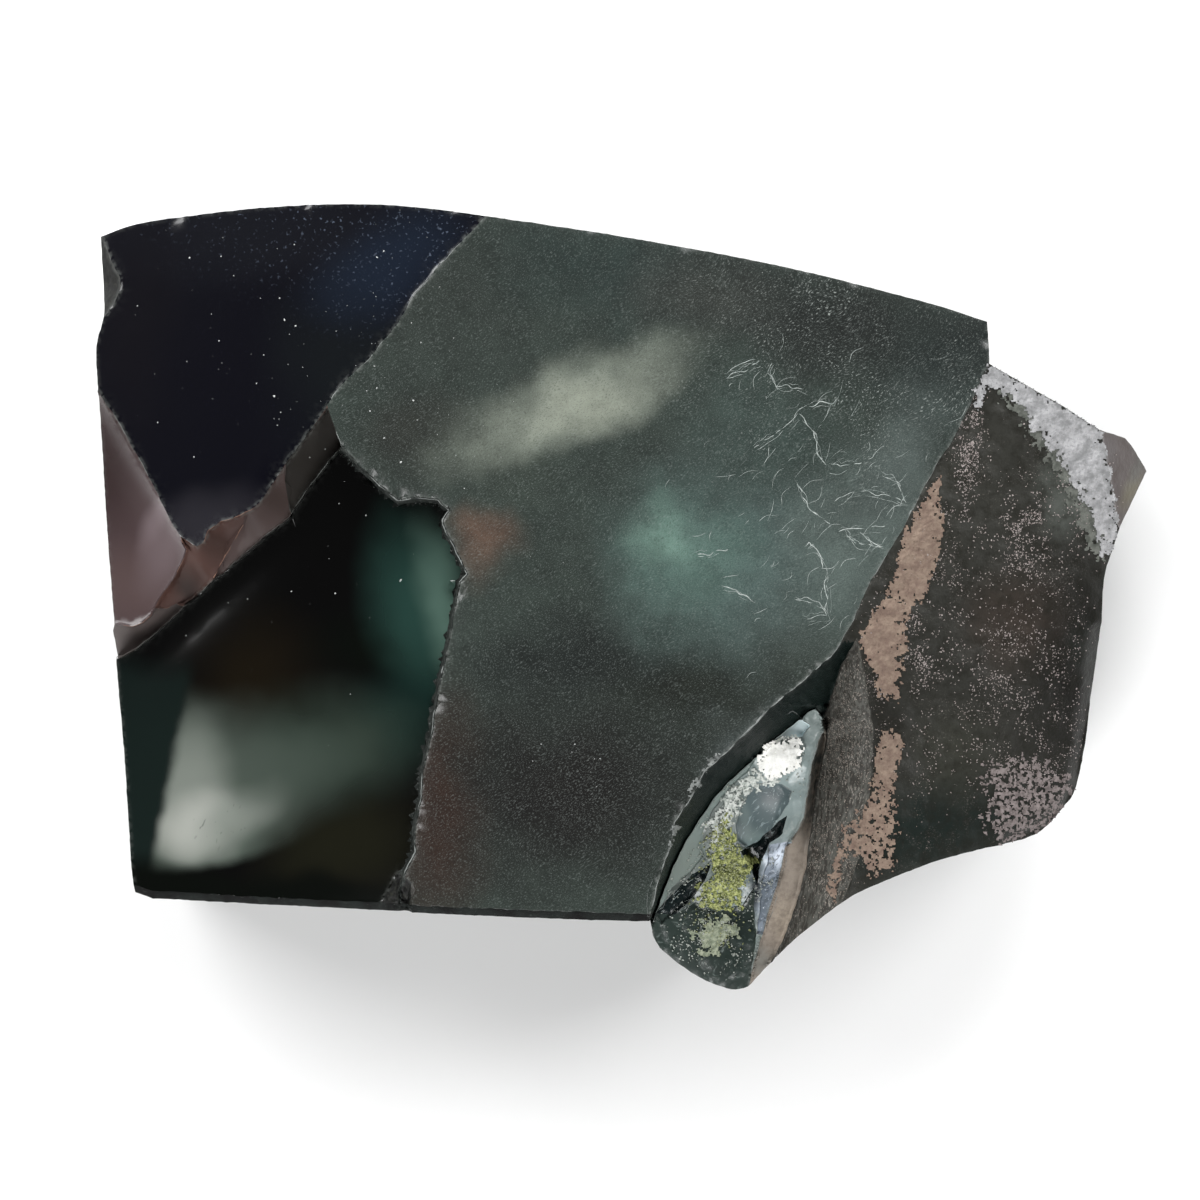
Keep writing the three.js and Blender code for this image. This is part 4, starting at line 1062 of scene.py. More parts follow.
def paint_basin(tree, place):
    """Clear black-green glass with teal, brown and grey-green clouds, a painted reflection of a soft
    light in its lower left and painted dark reflection along its left and lower edges. It is the
    glossiest face."""
    soft = wavered(tree, place, 14, 7)
    clouds = [
        (-67, -14, 18, 16, 20, "#1e1a14", 0.9), (-50, -44, 24, 12, 15, "#1f1f18", 1.0),
        (-44, -8, 18, 10, 0, "#0d1411", 0.8), (-37, -2, 12, 24, 12, "#29423c", 1.0),
        (-32.5, -2, 6, 22, 12, "#536c62", 1.0), (-41, -22, 12, 12, 0, "#152a27", 0.8),
        (-53, -27, 24, 15, 10, "#333d36", 1.0), (-60, -30, 18, 10, 15, "#3d4740", 0.9),
    ]
    colour = clouded(tree, soft, "#020604", clouds)
    # painted reflection of a soft light, pale in the lower left, with a clear left edge and lower edge
    painted_reflection_colour = clouded(tree, soft, "#4c554e", [
        (-79, -34, 11, 20, 0, "#7b817a", 1.0), (-78, -41, 12, 8, 25, "#a6a9a2", 1.0),
        (-70, -39, 14, 6, 30, "#828881", 0.8)])
    nearly = wavered(tree, place, 6, 1.6)
    painted_reflection = sum_of(
        tree, across(tree, nearly, -83.3, -34, -12, 2.6), across(tree, nearly, -77, -48.4, 102, 2.6),
        across(tree, soft, -64.5, -44.5, 122, 8), across(tree, soft, -74, -20, -100, 13),
        across(tree, soft, -61, -34, 200, 26), operation="MULTIPLY")
    colour = mixed(tree, painted_reflection, colour, painted_reflection_colour)
    # painted dark reflection along the left, where the face turns away and mirrors the dim room
    edge = sum_of(tree, across(tree, nearly, -82.7, -34, 168, 3), across(tree, soft, -84, -12, -90, 6),
                  operation="MULTIPLY")
    colour = mixed(tree, edge, colour, seen("#1b2321"))
    # painted dark reflection along the lower end, where the face curves down
    low = across(tree, soft, -60, -50, -93, 5)
    colour = mixed(tree, low, colour, seen("#0c1311"))
    # fine scratches, painted pale only in a spot within the painted reflection, where they catch its
    # light
    scratched = stretched(tree, wavered(tree, place, 3, 2), 70, 3.0, 0.6, 3.0)
    spot = clouded(tree, place, "#000000", [(-73, -40, 9, 7, 20, "#ffffff", 1.0)], 1, 0)
    marks = sum_of(tree, scaled(tree, scratched, 0.66, 0.72, 0.0, 0.6), spot, operation="MULTIPLY")
    return mixed(tree, marks, colour, seen("#3a403c"))


def paint_skin(tree, place):
    """The weathered side: a dull film, thicker in places, with pale dust in its pits."""
    clouds = [
        (58, 22, 20, 26, 0, "#45453f", 0.7), (82, -12, 14, 34, 0, "#191813", 1.0),
        (55, -41, 34, 12, 10, "#202b27", 1.0), (70, -4, 14, 14, 0, "#4b413a", 0.8),
        (60, -28, 12, 12, 0, "#47483f", 0.7),
        (81, 18, 7, 12, -20, "#6b706a", 0.9), (78, 24, 5, 10, -40, "#5d625c", 0.8),
        (46, -20, 5, 16, 0, "#2b2a25", 0.9), (84, -10, 4, 10, 10, "#303430", 0.8),
    ]
    colour = clouded(tree, wavered(tree, place, 9, 6), "#3d3d38", clouds, light=2.0)
    mottle = noise_of(tree, place, 2.6, 5.0, 0.7)
    colour = marked(tree, colour, mottle, 0.4, 0.68, 0.6, "#1f1e18")
    dust = noise_of(tree, place, 0.3, 3.0, 0.7)
    patchy = noise_of(tree, place, 6, 4.0, 0.6)
    marks = sum_of(tree, scaled(tree, dust, 0.56, 0.68, 0.0, 0.7), scaled(tree, patchy, 0.45, 0.65),
                   operation="MULTIPLY")
    return mixed(tree, marks, colour, seen("#8d8781", 2.0))


def paint_wall(tree, place):
    """The hackled wall: dark green, broken so finely that only small glints show."""
    # painted light: paler towards the foot, where this scene leaves the steep wall in shade
    foot = across(tree, wavered(tree, place, 4, 1), 21, -28, -42, 6)
    colour = mixed(tree, foot, seen("#101615", 1.0), seen("#161e1c", 1.0))
    glint = noise_of(tree, place, 0.5, 3.0, 0.7)
    return marked(tree, colour, glint, 0.5, 0.75, 0.3, "#37423f", 1.0)


def paint_hollow(tree, place):
    """Etched glass of the hollow, veined white and grey like frosted glass."""
    clouds = [
        (27, -34, 12, 16, -20, "#8e9c9c", 0.9), (24, -50, 7, 9, 0, "#7f8c8e", 0.8),
        (15, -42, 8, 22, -30, "#6d736f", 0.8), (26.5, -51, 4, 9, -15, "#c4cfe0", 1.0),
        (10, -54, 6, 9, 0, "#3a403d", 0.9), (22.5, -44.5, 5, 4, 0, "#343a37", 0.8),
        (14, -64, 12, 8, 0, "#6f766d", 0.8), (23.6, -52, 2.6, 9, 0, "#1d2327", 1.0),
    ]
    colour = clouded(tree, wavered(tree, place, 5, 3), "#7b8583", clouds, light=0.95)
    veins = noise_of(tree, place, 2.2, 4.0, 0.6, 1.5)
    return marked(tree, colour, veins, 0.5, 0.72, 0.5, "#c2cac8")


def paint_mauve(tree, place):
    """A facet of the ledge with a thin mauve film."""
    return clouded(tree, wavered(tree, place, 8, 4), "#4d413f", [
        (-62, 18, 5, 8, 40, "#3a302d", 0.8), (-70, 9, 6, 5, 40, "#5a4d4b", 0.8)])


def paint_grey_facet(tree, place):
    """A facet of the ledge that is grey and nearly clean."""
    return clouded(tree, wavered(tree, place, 8, 4), "#22201e", [
        (-53, 31, 5, 8, -30, "#302e2c", 0.8)], light=0.8)


def paint_foot_facet(tree, place):
    """The ledge's foot, where the brown stain is rubbed pale."""
    return clouded(tree, wavered(tree, place, 8, 4), "#524a48", [], light=1.3)


def paint_pale_strip(tree, place):
    """The smooth pale shell strip under the wall, lightly veined."""
    colour = clouded(tree, wavered(tree, place, 5, 3), "#6a7471", [
        (32, -25, 5, 6, 0, "#c0cccf", 0.9), (11, -48, 5, 9, -35, "#68706b", 0.8)], light=0.68)
    veins = noise_of(tree, place, 2.0, 4.0, 0.6, 1.2)
    return marked(tree, colour, veins, 0.55, 0.75, 0.35, "#9da8a5")


def paint_shell(tree, place):
    """Grey shell break with fine ripples across it."""
    colour = clouded(tree, wavered(tree, place, 4, 2), "#566264", [
        (27, -35.5, 4, 2.4, 0, "#3f494c", 0.9), (23, -43, 4, 3, 0, "#6c7a78", 0.8),
        (21.6, -39, 2, 5, 10, "#707d7c", 0.8)], light=0.9)
    veins = stretched(tree, wavered(tree, place, 2.4, 2.4), 50, 7.0, 0.35, 3.0)
    return marked(tree, colour, veins, 0.58, 0.68, 0.6, "#9aa7aa", 0.9)


def paint_blue(tree, place):
    """Blue-white frosted glass, cracked dark and crushed white."""
    colour = clouded(tree, wavered(tree, place, 3, 2), "#747d88", [
        (28.4, -46, 2.6, 4, 0, "#bac3d0", 1.0), (25, -55, 3, 6, 0, "#4c555e", 0.9)], light=0.78)
    veins = stretched(tree, wavered(tree, place, 2, 1.2), 50, 4.0, 0.6, 4.0)
    colour = marked(tree, colour, veins, 0.5, 0.6, 0.75, "#3b434b", 0.78)
    white = noise_of(tree, place, 0.5, 4.0, 0.7)
    return marked(tree, colour, white, 0.6, 0.66, 0.8, "#c3c8d0", 0.78)


def paint_pocket(tree, place):
    """Nearly black glass in the hollow's deep pockets, with a few pale veins."""
    colour = clouded(tree, place, "#1c2526", [])
    veins = stretched(tree, wavered(tree, place, 3, 1), 40, 4.0, 0.5, 3.0)
    return marked(tree, colour, veins, 0.6, 0.7, 0.8, "#9aa6a6")


def paint_lower(tree, place):
    """The dark lower end of the hollow, veined grey."""
    colour = clouded(tree, wavered(tree, place, 5, 3), "#38433f", [
        (14, -68, 9, 5, -20, "#454d4a", 0.8), (21, -60, 4, 6, 0, "#2b3533", 0.8)])
    veins = noise_of(tree, place, 1.6, 4.0, 0.6, 1.5)
    return marked(tree, colour, veins, 0.58, 0.7, 0.55, "#8c9894")


def paint_tan(tree, place):
    """Tan earth stain on rough glass, dull and mottled, with painted shadow up in the cleft."""
    colour = clouded(tree, wavered(tree, place, 3, 1.5), "#948a7f", [
        # the two dark clouds in the next row are painted shadow of the streaked slope that overhangs
        # the cleft
        (35, -31, 7, 15, 0, "#242826", 1.0), (34, -40, 5, 8, 0, "#2a2c2a", 0.9),
        (29, -58, 4, 7, 0, "#a89c8d", 0.9), (25, -66, 4, 5, 0, "#7d7c76", 0.9)], light=1.22)
    mottle = noise_of(tree, place, 1.4, 5.0, 0.7)
    return marked(tree, colour, mottle, 0.42, 0.68, 0.6, "#71675d", 1.15)


def paint_streaked(tree, place):
    """Rough break with long grey streaks down the slope and dusty lime on them."""
    streaks = stretched(tree, place, 78, 4.0, 0.6, 4.0)
    dark = mixed(tree, scaled(tree, streaks, 0.4, 0.62), seen("#3a3834", 1.3),
                 seen("#565651", 1.3))
    pale = stretched(tree, place, 78, 2.6, 0.26, 4.0)
    thick = noise_of(tree, place, 4, 3.0, 0.6)
    marks = sum_of(tree, scaled(tree, pale, 0.54, 0.66, 0.0, 0.85), scaled(tree, thick, 0.3, 0.6),
                   operation="MULTIPLY")
    return mixed(tree, marks, dark, seen("#97918a", 1.2))


def bumps_streaked(tree, place):
    """Long ribs down the slope."""
    return stretched(tree, place, 78, 3.0, 0.5, 4.0), 0.5, 0.2


def paint_tip(tree, place):
    """The pointed end, thin enough to look mauve and yellow."""
    return clouded(tree, wavered(tree, place, 4, 2), "#5c4842", [
        (87, 27, 3, 5, 0, "#6d6160", 0.9), (92, 20, 3, 6, -25, "#857a55", 0.9),
        (93, 24, 2, 5, -25, "#5f5a50", 0.8)], light=3.4)


def paint_chip(tree, place):
    """Freshly chipped corners, dark with fine pale veins."""
    colour = clouded(tree, place, "#10120f", [])
    veins = noise_of(tree, place, 1.0, 4.0, 0.6, 1.0)
    return marked(tree, colour, veins, 0.5, 0.7, 0.6, "#34362e")


def paint_edge(tree, place):
    """Hackled edge of the step, dark with grains of crushed glass."""
    colour = mixed(tree, scaled(tree, noise_of(tree, place, 3, 3.0), 0.3, 0.7),
                   seen("#161a18"), seen("#2e3230"))
    grit = noise_of(tree, place, 0.45, 4.0, 0.7)
    return marked(tree, colour, grit, 0.58, 0.66, 0.75, "#7d817e")


def paint_rubbed(tree, place):
    """The rubbed lower edge, duller and darker, with fewer grains."""
    colour = mixed(tree, scaled(tree, noise_of(tree, place, 5, 3.0), 0.3, 0.7),
                   seen("#0d1110"), seen("#232826"))
    grit = noise_of(tree, place, 0.45, 4.0, 0.7)
    return marked(tree, colour, grit, 0.6, 0.7, 0.5, "#5d625f")


def paint_side(tree, place):
    """Fresh break on the walls: dark bottle green, glossy."""
    mottle = noise_of(tree, place, 14, 3.0, 0.55)
    return mixed(tree, scaled(tree, mottle, 0.35, 0.7), linear("#131a17"), linear("#2b3834"))


def paint_cast(tree, place):
    """The skin that lay against the mould: dull grey-green."""
    mottle = noise_of(tree, place, 4, 5.0, 0.65)
    return mixed(tree, scaled(tree, mottle, 0.35, 0.7), linear("#191f1d"), linear("#3a403c"))


scuffed_top = glass("scuffed_cast_top_glass", 0.38, paint_top, bumps_top)
polished_dusk = glass("smooth_dark_break_glass", 0.18, paint_dusk, DUSK_RELIEF, 0.4)
mauve_scoop = glass("mauve_shell_break_glass", 0.24, paint_scoop, SMOOTH_RELIEF, 0.4)
brown_ledge = glass("brown_stepped_break_glass", 0.6, paint_ledge, SMOOTH_RELIEF, 0.4, specular=0.15)
glossy_basin = glass("glossy_shell_break_glass", 0.1, paint_basin, SMOOTH_RELIEF, 0.5)
weathered_skin = glass("weathered_skin_glass", 0.5, paint_skin, SKIN_RELIEF, 0.2, specular=0.22)
hackled_wall = glass("hackled_green_wall_glass", 0.45, paint_wall, WALL_RELIEF, 0.25,
                     specular=0.12)
etched_hollow = glass("etched_hollow_glass", 0.3, paint_hollow, HOLLOW_RELIEF, 0.8)
tan_strip = glass("tan_stained_glass", 0.7, paint_tan, HOLLOW_RELIEF, 0.3, specular=0.25)
streaked_break = glass("streaked_rough_break_glass", 0.6, paint_streaked, bumps_streaked, 0.1,
                       specular=0.2)
thin_tip = glass("thin_mauve_tip_glass", 0.35, paint_tip, HOLLOW_RELIEF, 0.3)
chipped_glass = glass("chipped_corner_glass", 0.5, paint_chip, HOLLOW_RELIEF, 0.3, specular=0.15)
hackled_edge = glass("hackled_edge_glass", 0.7, paint_edge, EDGE_RELIEF, 0.25, specular=0.1)
rubbed_glass = glass("rubbed_lower_edge_glass", 0.7, paint_rubbed, EDGE_RELIEF, 0.1, specular=0.1)
mauve_break = glass("mauve_facet_glass", 0.5, paint_mauve, SMOOTH_RELIEF, 0.4, specular=0.25)
grey_break = glass("grey_brown_facet_glass", 0.5, paint_grey_facet, SMOOTH_RELIEF, 0.4, specular=0.25)
foot_break = glass("pale_foot_facet_glass", 0.5, paint_foot_facet, SMOOTH_RELIEF, 0.4, specular=0.25)
pale_hollow = glass("smooth_etched_grey_glass", 0.35, paint_pale_strip, ETCHED_RELIEF, 0.8)
shell_hollow = glass("rippled_shell_glass", 0.38, paint_shell, ETCHED_RELIEF, 0.8, specular=0.3)
blue_hollow = glass("blue_white_frosted_glass", 0.5, paint_blue, HOLLOW_RELIEF, 0.6)
dark_hollow = glass("dark_pocket_glass", 0.25, paint_pocket, HOLLOW_RELIEF, 0.5)
lower_glass = glass("dark_lower_hollow_glass", 0.3, paint_lower, HOLLOW_RELIEF, 0.6)
side_break = glass("glossy_side_break_glass", 0.14, paint_side, SIDE_RELIEF, 0.5)
cast_side = glass("dull_mould_skin_glass", 0.45, paint_cast, CAST_RELIEF, 0.5)
# the glass that each face shows
material_of = {
    "top": scuffed_top, "dusk": polished_dusk, "scoop": mauve_scoop, "ledge": brown_ledge,
    "basin": glossy_basin, "skin": weathered_skin, "wall": hackled_wall, "hollow": etched_hollow,
    "tan": tan_strip, "streaked": streaked_break, "tip": thin_tip, "left chip": chipped_glass,
    "foot chip": chipped_glass, "mauve facet": mauve_break, "grey facet": grey_break,
    "foot facet": foot_break, "pale strip": pale_hollow, "shell facet": shell_hollow,
    "blue facet": blue_hollow, "dark notch": dark_hollow, "dark pocket": dark_hollow,
    "lower hollow": lower_glass,
}
kinds = np.empty(len(mesh.polygons), np.int32)
mesh.polygons.foreach_get("material_index", kinds)
for material in [*(material_of[name] for name in names), side_break, cast_side, hackled_edge,
                 rubbed_glass]:
    mesh.materials.append(material)
mesh.polygons.foreach_set("material_index", kinds)

# how strongly each line is chipped to a pale edge
chipped_lines = [
    (ridge, 0.5), (dusk_lip, 0.5), (scoop_crest, 0.4), (basin_crest, 0.35), (chipped_step, 0.45),
    (skin_crest, 0.4), (top_lip, 0.45), (hollow_ridge, 0.6), (wall_foot, 0.4), (left_chip, 0.5),
    (foot_chip, 0.3), (closed_rim, 0.22)]
CHIPS_REACH = 0.4
xyz = np.empty(len(mesh.vertices) * 3)
mesh.vertices.foreach_get("co", xyz)
xyz = xyz.reshape(-1, 3) / MM
chipped = np.zeros(len(xyz))
on_top = np.arange(len(xyz)) < len(upper)
for line, strength in chipped_lines:
    off = distance_to(line, xyz[on_top, 0], xyz[on_top, 1])
    chipped[on_top] = np.maximum(chipped[on_top], strength * np.exp(-((off / CHIPS_REACH) ** 2)))
mesh.attributes.new("chipped", "FLOAT", "POINT").data.foreach_set("value", chipped)

# Crusts on the glass
# Mineral crusts that grew where the chunk lay: tan ones beside the hollow and a white one at the
# notched corner. Each is a thin sheet with ragged edges and holes, which follows the glass.

ground_tree = BVHTree.FromPolygons(points.tolist(), polygons)
SUNK = 0.12
THINNEST = 0.05
CELL_JITTER = 0.32
EDGE_RAGGED = 2.2
EDGE_LUMP = 1.6
HOLE_LEVEL = 0.55
RIM_HEIGHT = 40.0


def ground(x, y):
    """The height of the chunk under the sky at a point in plan, or None beside the chunk."""
    hit = ground_tree.ray_cast(Vector((x, y, 99)), Vector((0, 0, -1)))[0]
    return hit.z if hit else None


def crust(outline, cell, thickness, ragged, gaps, seed, hole=0.9, lumpy=0.9, lump=0.7):
    """Corners and faces of a ragged sheet that lies on the glass within an outline."""
    outline = np.array(outline, float)
    spread = np.random.default_rng(seed)
    xs = np.arange(outline[:, 0].min() - 1, outline[:, 0].max() + 1, cell)
    ys = np.arange(outline[:, 1].min() - 1, outline[:, 1].max() + 1, cell)
    gx, gy = np.meshgrid(xs, ys)
    gx = gx + spread.uniform(-CELL_JITTER, CELL_JITTER, gx.shape) * cell
    gy = gy + spread.uniform(-CELL_JITTER, CELL_JITTER, gy.shape) * cell
    mx, my = gx[:-1, :-1] + cell / 2, gy[:-1, :-1] + cell / 2
    depth = depth_in(outline, mx, my)
    depth += ragged * EDGE_RAGGED * grain_of(mx, my, EDGE_LUMP, 4, seed)
    # there are more holes towards the edge
    thin = grain_of(mx, my, hole, 4, seed + 9.0) * np.clip(2.2 - depth, 0.6, 2.2)
    kept = (depth > 0) & (thin <= HOLE_LEVEL - gaps) & is_inside(rim, mx, my)
    corner_number, corners, faces = {}, [], []
    lumps = grain_of(gx, gy, lump, 3, seed + 4.0)

    def corner(i, j, top):
        if (i, j, top) not in corner_number:
            z = ground(gx[i, j], gy[i, j])
            if z is None:
                z = ground(gx[i, j] * 0.99, gy[i, j] * 0.99) or RIM_HEIGHT
            lift = max(thickness * (0.75 + lumpy * lumps[i, j]), THINNEST) if top else -SUNK
            corner_number[i, j, top] = len(corners)
            corners.append((gx[i, j], gy[i, j], z + lift))
        return corner_number[i, j, top]

    for i, j in np.argwhere(kept):
        ring = [(i, j), (i, j + 1), (i + 1, j + 1), (i + 1, j)]
        faces.append([corner(a, b, True) for a, b in ring])
        faces.append([corner(a, b, False) for a, b in ring[::-1]])
        sides = [(i - 1, j, 0), (i, j + 1, 1), (i + 1, j, 2), (i, j - 1, 3)]
        for ni, nj, side in sides:
            goes_on = 0 <= ni < kept.shape[0] and 0 <= nj < kept.shape[1] and kept[ni, nj]
            if not goes_on:
                p, q = ring[side], ring[(side + 1) % 4]
                faces.append([corner(*p, False), corner(*q, False), corner(*q, True),
                              corner(*p, True)])
    return corners, faces


def together(parts):
    """Several lots of corners and faces as one."""
    corners, faces = [], []
    for more_corners, more_faces in parts:
        start = len(corners)
        corners += [tuple(c) for c in more_corners]
        faces += [[start + k for k in face] for face in more_faces]
    return corners, faces


def mineral(name, dark, pale, size, roughness=0.85, light=LIGHT_ON_TOP, speckle="#6b5d50",
            relief=0.35):
    """A dull, dusty mineral whose colour is mottled between dark and pale."""
    material, tree, shader = started(name, Roughness=roughness, Specular_IOR_Level=0.25)
    place = add(tree, "ShaderNodeTexCoord").outputs["Object"]
    mottle = noise_of(tree, place, size, 5.0, 0.65)
    colour = mixed(tree, scaled(tree, mottle, 0.35, 0.65), seen(dark, light), seen(pale, light))
    fine = noise_of(tree, place, 0.35, 3.0, 0.7)
    colour = mixed(tree, scaled(tree, fine, 0.56, 0.7, 0.0, 0.7), colour, seen(speckle, light))
    tree.links.new(colour, shader.inputs["Base Color"])
    bump = add(tree, "ShaderNodeBump", {"Height": noise_of(tree, place, 0.5, 4.0, 0.7),
                                       "Strength": relief, "Distance": 0.2 * MM})
    tree.links.new(bump.outputs[0], shader.inputs["Normal"])
    return material


def deposit(name, parts, material):
    """One piece made of several lots of corners and faces, in one material."""
    corners, faces = together(parts)
    made = piece(name, corners, faces)
    made.data.materials.append(material)
    return made


tan_patches = [
    ([(56.8, 22.6), (55.9, 18.1), (56.8, 13.4), (56.4, 8.6), (54.1, 1.4), (52.2, -0.6),
      (46.4, 0.6), (48.2, 4.4), (49.4, 10.9), (52.3, 15.8), (55.4, 21.7)], 0.4, 0.0, 0.9),
    ([(46.4, 0.9), (52.3, -0.3), (50.5, -2.3), (50.0, -8.7), (49.0, -17.7), (45.8, -17.2),
      (44.0, -11.8), (41.8, -7.7), (44.0, -3.3)], 0.7, 0.12, 1.1),
    ([(46.2, -23.1), (50.3, -24.8), (49.8, -28.7), (48.3, -34.0), (44.6, -34.0),
      (45.1, -28.7)], 0.4, 0.04, 0.9),
    ([(45.1, -33.6), (48.5, -33.6), (49.1, -40.2), (48.4, -48.9), (45.5, -50.3), (42.2, -46.5),
      (39.6, -46.6), (38.8, -49.4), (37.7, -54.6), (36.6, -53.0), (38.4, -44.9),
      (41.3, -39.2)], 0.8, 0.39, 0.9),
]
tan_mineral = mineral("tan_lime_crust", "#8c776b", "#a69282", 1.6, light=1.65, speckle="#6b5a50",
                      relief=0.25)
deposit("tan_crust", [crust(outline, 0.27, 0.2, ragged, gaps, 11 + i, hole)
                      for i, (outline, ragged, gaps, hole) in enumerate(tan_patches)],
        tan_mineral)

white_patch = [
    (64.6, 42.4), (62.8, 37.8), (61.9, 34.4), (63.4, 34.8), (65.0, 37.4), (67.6, 36.8),
    (69.6, 35.6), (71.6, 33.4), (73.0, 30.5), (75.7, 27.8), (78.4, 24.2), (80.4, 20.5),
    (83.6, 16.9), (85.0, 12.3), (86.0, 7.4), (88.4, 8.0), (89.4, 12.6), (88.2, 19.5),
    (86.9, 25.5), (85.9, 29.6), (85.6, 31.6), (78.6, 35.2), (69.6, 40.0)]
white_mineral = mineral("white_lime_crust", "#a0a1a2", "#d0d0d2", 2.2, light=1.65,
                        speckle="#8b8b8c", relief=0.25)
deposit("white_crust", [crust(white_patch, 0.27, 0.3, 0.45, 0.06, 21, 1.0, 0.6)], white_mineral)

# where the white crust thins towards the skin it is grey-green
fringe = [
    (66.4, 37.0), (70.0, 33.5), (72.2, 29.5), (75.0, 26.0), (77.4, 22.5), (79.6, 17.6),
    (81.6, 13.6), (83.6, 9.0), (86.2, 7.0), (87.2, 11.5), (85.2, 16.5), (82.6, 21.0), (79.0, 26.4),
    (75.4, 31.0), (71.0, 36.0), (67.6, 38.2)]
deposit("grey_fringe", [crust(fringe, 0.27, 0.12, 0.9, 0.12, 22, 1.4)],
        mineral("grey_green_scale", "#62665f", "#8d9089", 1.4, light=1.9, speckle="#4c4f49",
                relief=0.2))

pink_flakes = [
    (66.0, -30.5), (70.2, -28.6), (75.4, -28.8), (79.6, -31.5), (82.0, -34.5), (80.8, -38.6),
    (77.5, -42.0), (72.5, -43.8), (67.5, -44.4), (65.6, -40.5), (66.6, -36.0), (64.8, -33.0)]
pink_mineral = mineral("grey_pink_scale", "#7b7270", "#a89d9b", 0.9, light=1.7,
                       speckle="#6d6562", relief=0.25)
deposit("pink_scale", [crust(pink_flakes, 0.24, 0.18, 1.5, 0.51, 31, 0.85)], pink_mineral)

# The fillings of the hollow
# White lime and yellow-green grit that settled in the deepest part of the hollow and caked.
# They dried to thin crumbly sheets, with one thick lump of lime under the wall.

white_lump = [
    (23.9, -28.1), (25.6, -26.1), (28.2, -25.0), (30.2, -24.7), (32.0, -25.3), (32.3, -28.1),
    (31.8, -30.1), (29.7, -31.4), (27.7, -32.7), (25.6, -32.2), (24.1, -30.7)]
white_band = [
    (22.4, -31.4), (24.1, -31.4), (26.7, -33.0), (27.7, -33.0), (24.6, -34.2), (21.6, -36.3),
    (21.1, -38.3), (19.5, -40.9), (17.5, -42.4), (16.0, -43.9), (15.5, -41.4), (14.5, -41.4),
    (16.5, -38.8), (18.0, -36.3), (19.5, -34.2)]
green_patch = [
    (17.5, -39.3), (19.5, -39.3), (19.5, -41.4), (20.1, -44.4), (23.6, -47.0), (23.1, -49.5),
    (21.6, -52.1), (21.1, -56.1), (18.5, -56.6), (14.5, -56.1), (12.9, -54.6), (14.0, -51.6),
    (16.0, -49.5), (15.5, -47.0), (15.0, -44.4), (16.5, -42.4)]
low_patch = [
    (12.4, -60.2), (14.5, -58.7), (17.5, -57.7), (20.6, -58.7), (20.8, -61.2), (18.5, -62.2),
    (17.0, -64.3), (15.0, -65.3), (13.4, -63.3)]
lump_lime = mineral("caked_white_lime", "#e2e2de", "#f6f6f2", 2.4, light=0.95,
                    speckle="#c9c8bb", relief=0.15)
deposit("white_lump", [crust(white_lump, 0.26, 0.9, 0.3, 0.0, 41, 0.9, 0.5, 2.0)], lump_lime)
deposit("white_band", [crust(white_band, 0.24, 0.25, 0.6, 0.3, 42, 0.8, 0.5, 1.2)],
        mineral("thin_white_lime", "#a9b0aa", "#dcdfda", 0.8, light=1.0, speckle="#6f7a76",
                relief=0.3))
green_grit = mineral("yellow_green_grit", "#4d5826", "#b9be80", 0.55, light=1.05,
                     speckle="#20281a")
deposit("green_grit", [crust(green_patch, 0.22, 0.3, 0.9, 0.36, 43, 0.8, 0.8, 1.1)], green_grit)
pale_grit = mineral("pale_green_grit", "#7c8572", "#aab09a", 0.9, light=1.1, speckle="#5c6650")
deposit("pale_grit", [crust(low_patch, 0.26, 0.25, 0.9, 0.24, 44)], pale_grit)

# Loose flakes, grains and seeds
# Specks of scale are scattered over the weathered skin and the streaked break, grains stick to
# the hollow's grit, and small bubbles that were cut open show as white seeds on the smooth faces.


STEEPEST = 1.0
FLAKE_SUNK = 0.06


def flake(x, y, long, wide, tall, turn, rng):
    """One flat speck with a broken outline, sunk a little into the glass, or None off it."""
    z = ground(x, y)
    if z is None:
        return None
    count = 5
    lower, upper = [], []
    for k in range(count):
        angle = 2 * math.pi * k / count + rng.uniform(-0.4, 0.4)
        reach = rng.uniform(0.65, 1.0)
        dx, dy = long * reach * math.cos(angle), wide * reach * math.sin(angle)
        px = x + dx * math.cos(turn) - dy * math.sin(turn)
        py = y + dx * math.sin(turn) + dy * math.cos(turn)
        pz = ground(px, py)
        if pz is None or abs(pz - z) > STEEPEST:
            return None
        lower.append((px, py, pz - FLAKE_SUNK))
        upper.append((x + 0.7 * (px - x), y + 0.7 * (py - y), pz + tall * rng.uniform(0.7, 1.2)))
    sides = [[k, (k + 1) % count, count + (k + 1) % count, count + k] for k in range(count)]
    top = [count + k for k in range(count)]
    return lower + upper, [*sides, top, list(range(count))[::-1]]


OFF_THE_RIM = 0.5


def scattered(places, size, stretch, tall, seed, regions, clump=3.0):
    """Flakes at random about places: (x, y, spread along x, spread along y, how many).
    They come in clumps, and only on the faces that regions names."""
    rng = random.Random(seed)
    found = []
    spots = []
    for x, y, wide, deep, count in places:
        spots += [(rng.gauss(x, wide), rng.gauss(y, deep)) for _ in range(count)]
    spots = np.array(spots)
    thick = grain_of(spots[:, 0], spots[:, 1], clump, 3, seed * 2.3)
    spots = spots[thick > np.array([rng.uniform(-0.35, 0.45) for _ in spots])]
    allowed = np.isin(faces_at(spots[:, 0], spots[:, 1]), [names.index(n) for n in regions])
    allowed &= depth_in(rim, spots[:, 0], spots[:, 1]) > OFF_THE_RIM
    for x, y in spots[allowed]:
        long = rng.uniform(*size)
        wide = long * rng.uniform(*stretch)
        one = flake(x, y, long, wide, tall * rng.uniform(0.5, 1.3), rng.uniform(0, math.pi), rng)
        if one:
            found.append(one)
    return found


